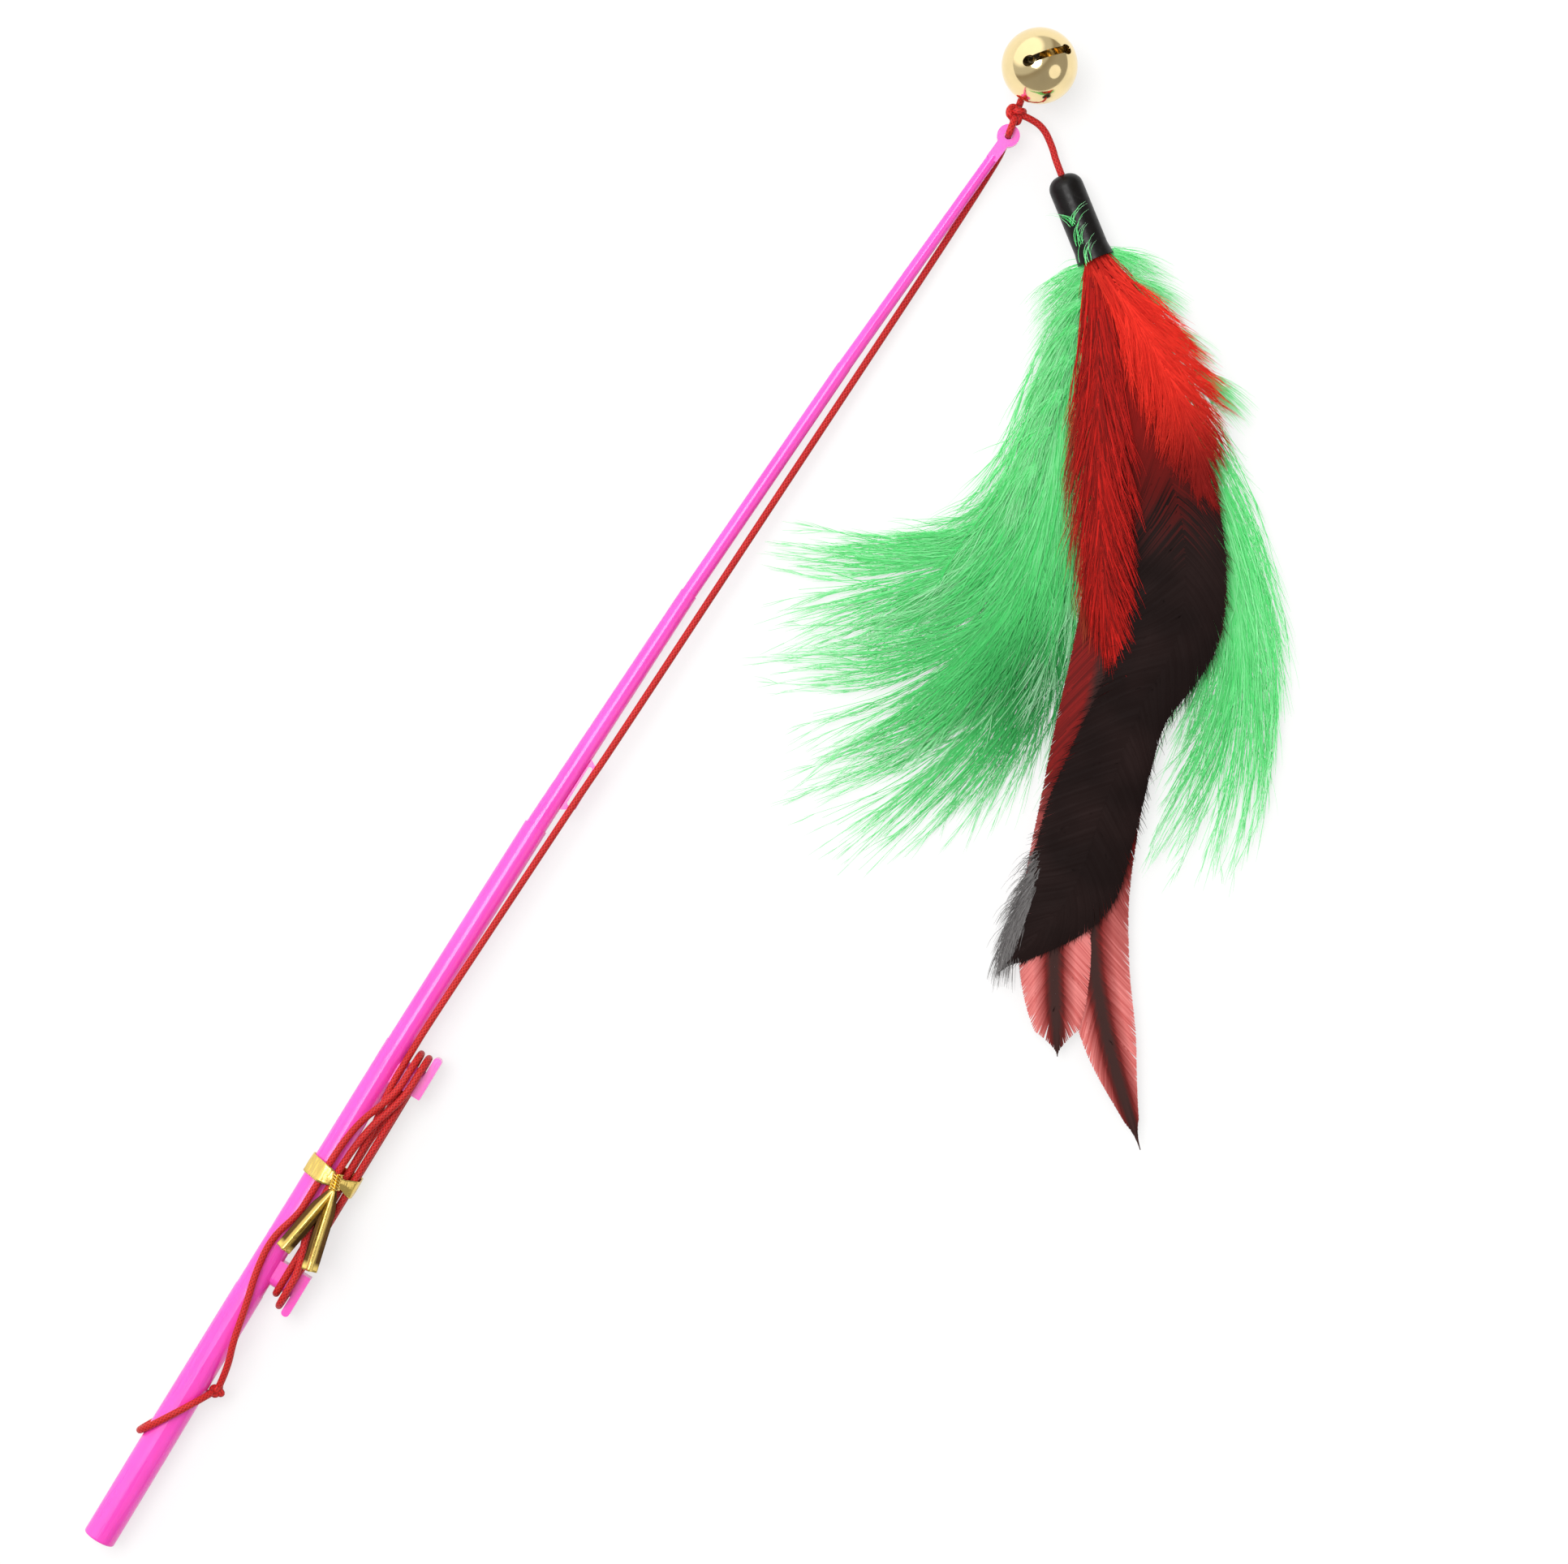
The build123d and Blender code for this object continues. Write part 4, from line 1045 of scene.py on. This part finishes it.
class WAND_OT_cords(bpy.types.Operator):
    """Lay the red elastic cord: run, hank and tail, the handle loop, the lead and the bell's tie"""

    bl_idname = "wand.cords"
    bl_label = "Cords"

    # Knots: node, body, centre, radius and turn
    tied = [
        ("tip_knot", "knot", TIP_KNOT, 0.0027, 0.4),
        ("tail_knot", "wand", TAIL_KNOT, 0.0020, 1.2),
        ("stop_knot", "lead", CAP_TOP + CAP_WAY * 0.0036, 0.0020, 0.2),
    ]
    # The bell's tie: how far it reaches into the knot and past the bell's ring, and the bead on its end
    tie_reach, tie_steps, bead_radius, bead_turn = 0.0024, 12, 0.0015, 0.3

    def execute(self, context):
        thick = context.scene.wand_sizes.cord
        material = cord_finish(context.scene.wand_colours)

        def laid(name, line, body, *nodes):
            """A cord along a line, on its body and in place of its solids."""
            return dress(cord_tube(name, line, thick), body, "elastic_cord", material, *nodes)

        for node, body, centre, radius, turned in self.tied:
            laid(f"{node}_cord", knot_line(centre, radius, thick, turned), body, node)

        line = route_line(RUN_ROUTE + hank_route() + TAIL_ROUTE)
        wound = laid("wound_cord", line, "wand", "cord_run", "cord_hank", "cord_tail")

        way = (BELL_RING - TIP_KNOT).normalized() * self.tie_reach
        start, end = TIP_KNOT + way, BELL_RING + way
        shares = [step / self.tie_steps for step in range(self.tie_steps + 1)]
        line = np.array([tuple(start.lerp(end, share)) for share in shares])
        strand = cord_tube("bell_tie_cord", line, thick)
        bead = cord_tube("bell_tie_bead", knot_line(end, self.bead_radius, thick, self.bead_turn), thick)
        dress(joined("bell_tie_cord", [strand, bead]), "bell", "elastic_cord", material, "bell_tie")

        line = route_line(loop_route())
        loop = laid("handle_loop_cord", line, "wand", "handle_loop")

        line = route_line(LEAD_ROUTE)
        lead = laid("lead_cord", line, "lead", "cord_lead")
        return {"FINISHED"}


class WAND_OT_finishes(bpy.types.Operator):
    """Give the rod, the bell, the cap and the hidden pieces their finishes"""

    bl_idname = "wand.finishes"
    bl_label = "Finishes"

    def execute(self, context):
        colours = context.scene.wand_colours
        bell = bell_finish(colours)
        finishes = {
            "rod": rod_finish(colours),
            "bell_crown": bell,
            "bell_skirt": bell,
            "bell_shank": bell,
            "bell_pellet": steel_finish(),
            "cap": vinyl_finish(colours),
            "glue_plug": glue_finish(),
        }
        for node, material in finishes.items():
            give_finish(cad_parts[node], material)
        return {"FINISHED"}


class WAND_OT_twist_tie(bpy.types.Operator):
    """Wrap the gold foil tie round rod and hank, twist it shut and lay out its two tails"""

    bl_idname = "wand.twist_tie"
    bl_label = "Twist Tie"

    def execute(self, context):
        sizes = context.scene.wand_sizes
        strips = [tie_band(sizes.foil)]
        strips += [tie_twist(sizes.foil, start_turn) for start_turn in TIE_START_TURNS]
        strips += [tie_tail(end, sizes.ribbon, sizes.foil) for end in TIE_TAILS]
        tie = joined("foil_tie", strips)
        dress(tie, "wand", "gold_foil", foil_finish(context.scene.wand_colours), "twist_tie")
        return {"FINISHED"}


class WAND_OT_green_plumes(bpy.types.Operator):
    """Grow the four green down plumes, with wisps that lie back over the cap"""

    bl_idname = "wand.green_plumes"
    bl_label = "Green Plumes"

    # Plumes: bow of the shaft, and the side on the outside of its bend, where the strands would part
    plumes = {
        "green_plume_back": (-0.0008, 1),
        "green_plume_upper": (-0.0003, 1),
        "green_plume_lower": (0.0, 1),
        "green_plume_right": (-0.0005, -1),
    }
    first_seed = 11
    # Tufts: place along the cap and to its side in millimetres, direction in degrees, share of the strands
    collars = {
        "green_plume_upper": [
            (1, -3.5, -88, 0.12), (4, -5, -84, 0.14), (8, -7.5, -78, 0.14), (13, -11, -70, 0.14),
            (19, -15, -66, 0.14), (26, -20, -62, 0.12), (33, -26, -58, 0.1), (40, -32, -56, 0.1)],
        "green_plume_right": [(0, 3.5, 50, 0.2), (7, 5, 42, 0.3), (20, 8, 34, 0.25), (34, 12, 30, 0.25)],
    }
    cap_wisps = [(0, -2.4, 180, 0.3), (-4.5, -2.2, 180, 0.3),
                 (-9.5, -1.8, 150, 0.15), (-9.5, -2.4, -172, 0.25)]
    above_cap = 0.0003

    def execute(self, context):
        sizes = context.scene.wand_sizes
        material = green_finish(context.scene.wand_colours)
        barb, fluff = sizes.down_barb * 0.8, sizes.down_fluff
        habit = dict(power=(0.6, 1.3), puff=0.0005, clump=0.3, wave=0.0012, mouth=0.003, end=0.06)
        for seed, (name, (rise, outer)) in enumerate(self.plumes.items(), self.first_seed):
            plume = Feather(name, rise, seed, tip=11, flare=0.35 if outer > 0 else 0.0)
            plume.shaft(base=sizes.quill * 0.45, tip=0.0001)
            made = plume.barbs(190, barb, lean=(0.25, 0.75), reach=(0.05, 1.25), span=(0.0, 0.66), **habit)
            plume.fluff(*made, 5200, fluff, length=(0.005, 0.014), spread=0.17, puff=0.0003)
            made = plume.barbs(90, barb, lean=(0.20, 0.45), reach=(0.6, 1.5), span=(0.05, 0.60),
                               sides=(outer,), **habit)
            plume.fluff(*made, 1500, fluff, length=(0.005, 0.013), spread=0.17, puff=0.0003)
            if name in self.collars:
                plume.tufts(self.collars[name], 1000, fluff, length=(0.006, 0.018), spread=0.26,
                            puff=0.0008, height=0.0)
            if name == "green_plume_upper":
                plume.tufts(self.cap_wisps, 30, fluff, length=(0.004, 0.008), spread=0.10,
                            puff=0.0001, height=CAP_RADIUS + self.above_cap)
            dress(plume.mesh(f"{name}_down"), "lure", "green_feather", material, name)
        return {"FINISHED"}


class WAND_OT_red_hackles(bpy.types.Operator):
    """Grow the two soft red hackles"""

    bl_idname = "wand.red_hackles"
    bl_label = "Red Hackles"

    # Strands that close the space at the cap's mouth: place, direction, share
    roots = [(0.5, -1.6, -18, 0.25), (0.5, -0.6, -6, 0.25), (0.5, 0.6, 8, 0.25), (0.5, 1.6, 20, 0.25)]

    def execute(self, context):
        sizes, colours = context.scene.wand_sizes, context.scene.wand_colours
        habit = dict(power=(0.8, 1.2), puff=0.0004, clump=0.3, wave=0.0004, camber=0.0004, mouth=0.003)
        for name, rise, seed, material in (
            ("red_hackle_left", 0.0030, 31, dark_hackle_finish(colours)),
            ("red_hackle_right", 0.0022, 32, bright_hackle_finish(colours)),
        ):
            hackle = Feather(name, rise, seed, tip=2)
            hackle.shaft(base=sizes.quill * 0.8, tip=0.00015)
            made = hackle.barbs(170, sizes.down_barb * 1.4, lean=(0.22, 0.42), reach=(0.35, 1.15),
                                span=(0.0, 0.93), **habit)
            hackle.fluff(*made, 5500, sizes.down_fluff, length=(0.004, 0.010), spread=0.14)
            hackle.tufts(self.roots, 300, sizes.down_barb, length=(0.010, 0.024), spread=0.10,
                         puff=0.0004, height=hackle.height * 0.6)
            dress(hackle.mesh(f"{name}_strands"), "lure", "red_feather", material, name)
        return {"FINISHED"}


class WAND_OT_vanes(bpy.types.Operator):
    """Lay the long dark feather and the two red tail feathers, barb by barb"""

    bl_idname = "wand.vanes"
    bl_label = "Dark and Tail Feathers"

    # Grey down beside the dark feather's tip: place along and to the side, direction, share
    fringe = [(126, -63.5, -80, 0.15), (130, -67.5, -75, 0.2), (134, -71.5, -68, 0.25),
              (138, -75.5, -60, 0.25), (142, -80, -45, 0.15)]
    # Tail feathers: seed of the strands, and how blunt the tip is
    tails = {"red_tail_long": (41, 1.0), "red_tail_short": (42, 2.0)}

    def execute(self, context):
        sizes, colours = context.scene.wand_sizes, context.scene.wand_colours
        shaft = dict(base=sizes.quill * 0.7, tip=0.0002)
        habit = dict(lean=(0.088, 0.092), taper=0.6, rough=0.00005)
        tail = tail_finish(colours)
        for name, (seed, blunt) in self.tails.items():
            vane = Feather(name, 0.0, seed, tip=0.05, blunt=blunt)
            vane.shaft(**shaft)
            vane.barbs(800, sizes.vane_barb, reach=(0.99, 1.01), camber=0.0006, **habit)
            dress(vane.mesh(f"{name}_vane"), "lure", "red_feather", tail, name)
        vane = Feather("dark_feather", 0.0016, 43, tip=0.05)
        vane.shaft(**shaft)
        made = vane.barbs(900, sizes.vane_barb, reach=(0.985, 1.015), camber=0.0012, mouth=0.002, **habit)
        vane.fluff(*made, 900, sizes.down_fluff, length=(0.002, 0.005), spread=0.25, from_out=0.88)
        dark = dark_vane_finish(colours)
        dress(vane.mesh("dark_feather_vane"), "lure", "dark_feather", dark, "dark_feather")
        fringe = Feather("dark_feather", 0.0, 44)
        fringe.tufts(self.fringe, 900, sizes.down_fluff, length=(0.006, 0.012), spread=0.28,
                     puff=0.0004, height=0.0016)
        dress(fringe.mesh("dark_feather_fringe"), "lure", "dark_feather", fringe_finish())
        return {"FINISHED"}


OPERATORS = (
    WAND_OT_stage,
    WAND_OT_cords,
    WAND_OT_finishes,
    WAND_OT_twist_tie,
    WAND_OT_green_plumes,
    WAND_OT_red_hackles,
    WAND_OT_vanes,
)


class WAND_PT_panel(bpy.types.Panel):
    """Sidebar panel that lists the wand's pieces"""

    bl_idname = "WAND_PT_panel"
    bl_label = "Cat Teaser Wand"
    bl_space_type = "VIEW_3D"
    bl_region_type = "UI"
    bl_category = "Wand"

    def draw(self, context):
        for operator in OPERATORS:
            self.layout.operator(operator.bl_idname)
        for group in (context.scene.wand_sizes, context.scene.wand_colours):
            for name in group.__annotations__:
                self.layout.prop(group, name)


CLASSES = (WandSizes, WandColours, *OPERATORS, WAND_PT_panel)


def register():
    """Register the classes and the settings they use."""
    for cls in CLASSES:
        bpy.utils.register_class(cls)
    bpy.types.Scene.wand_sizes = bpy.props.PointerProperty(type=WandSizes)
    bpy.types.Scene.wand_colours = bpy.props.PointerProperty(type=WandColours)


def unregister():
    """Remove the settings and the classes."""
    del bpy.types.Scene.wand_colours
    del bpy.types.Scene.wand_sizes
    for cls in reversed(CLASSES):
        bpy.utils.unregister_class(cls)


def main():
    """Make every piece in order."""
    register()
    for operator in OPERATORS:
        group, name = operator.bl_idname.split(".")
        getattr(getattr(bpy.ops, group), name)()


if __name__ == "__main__":
    main()
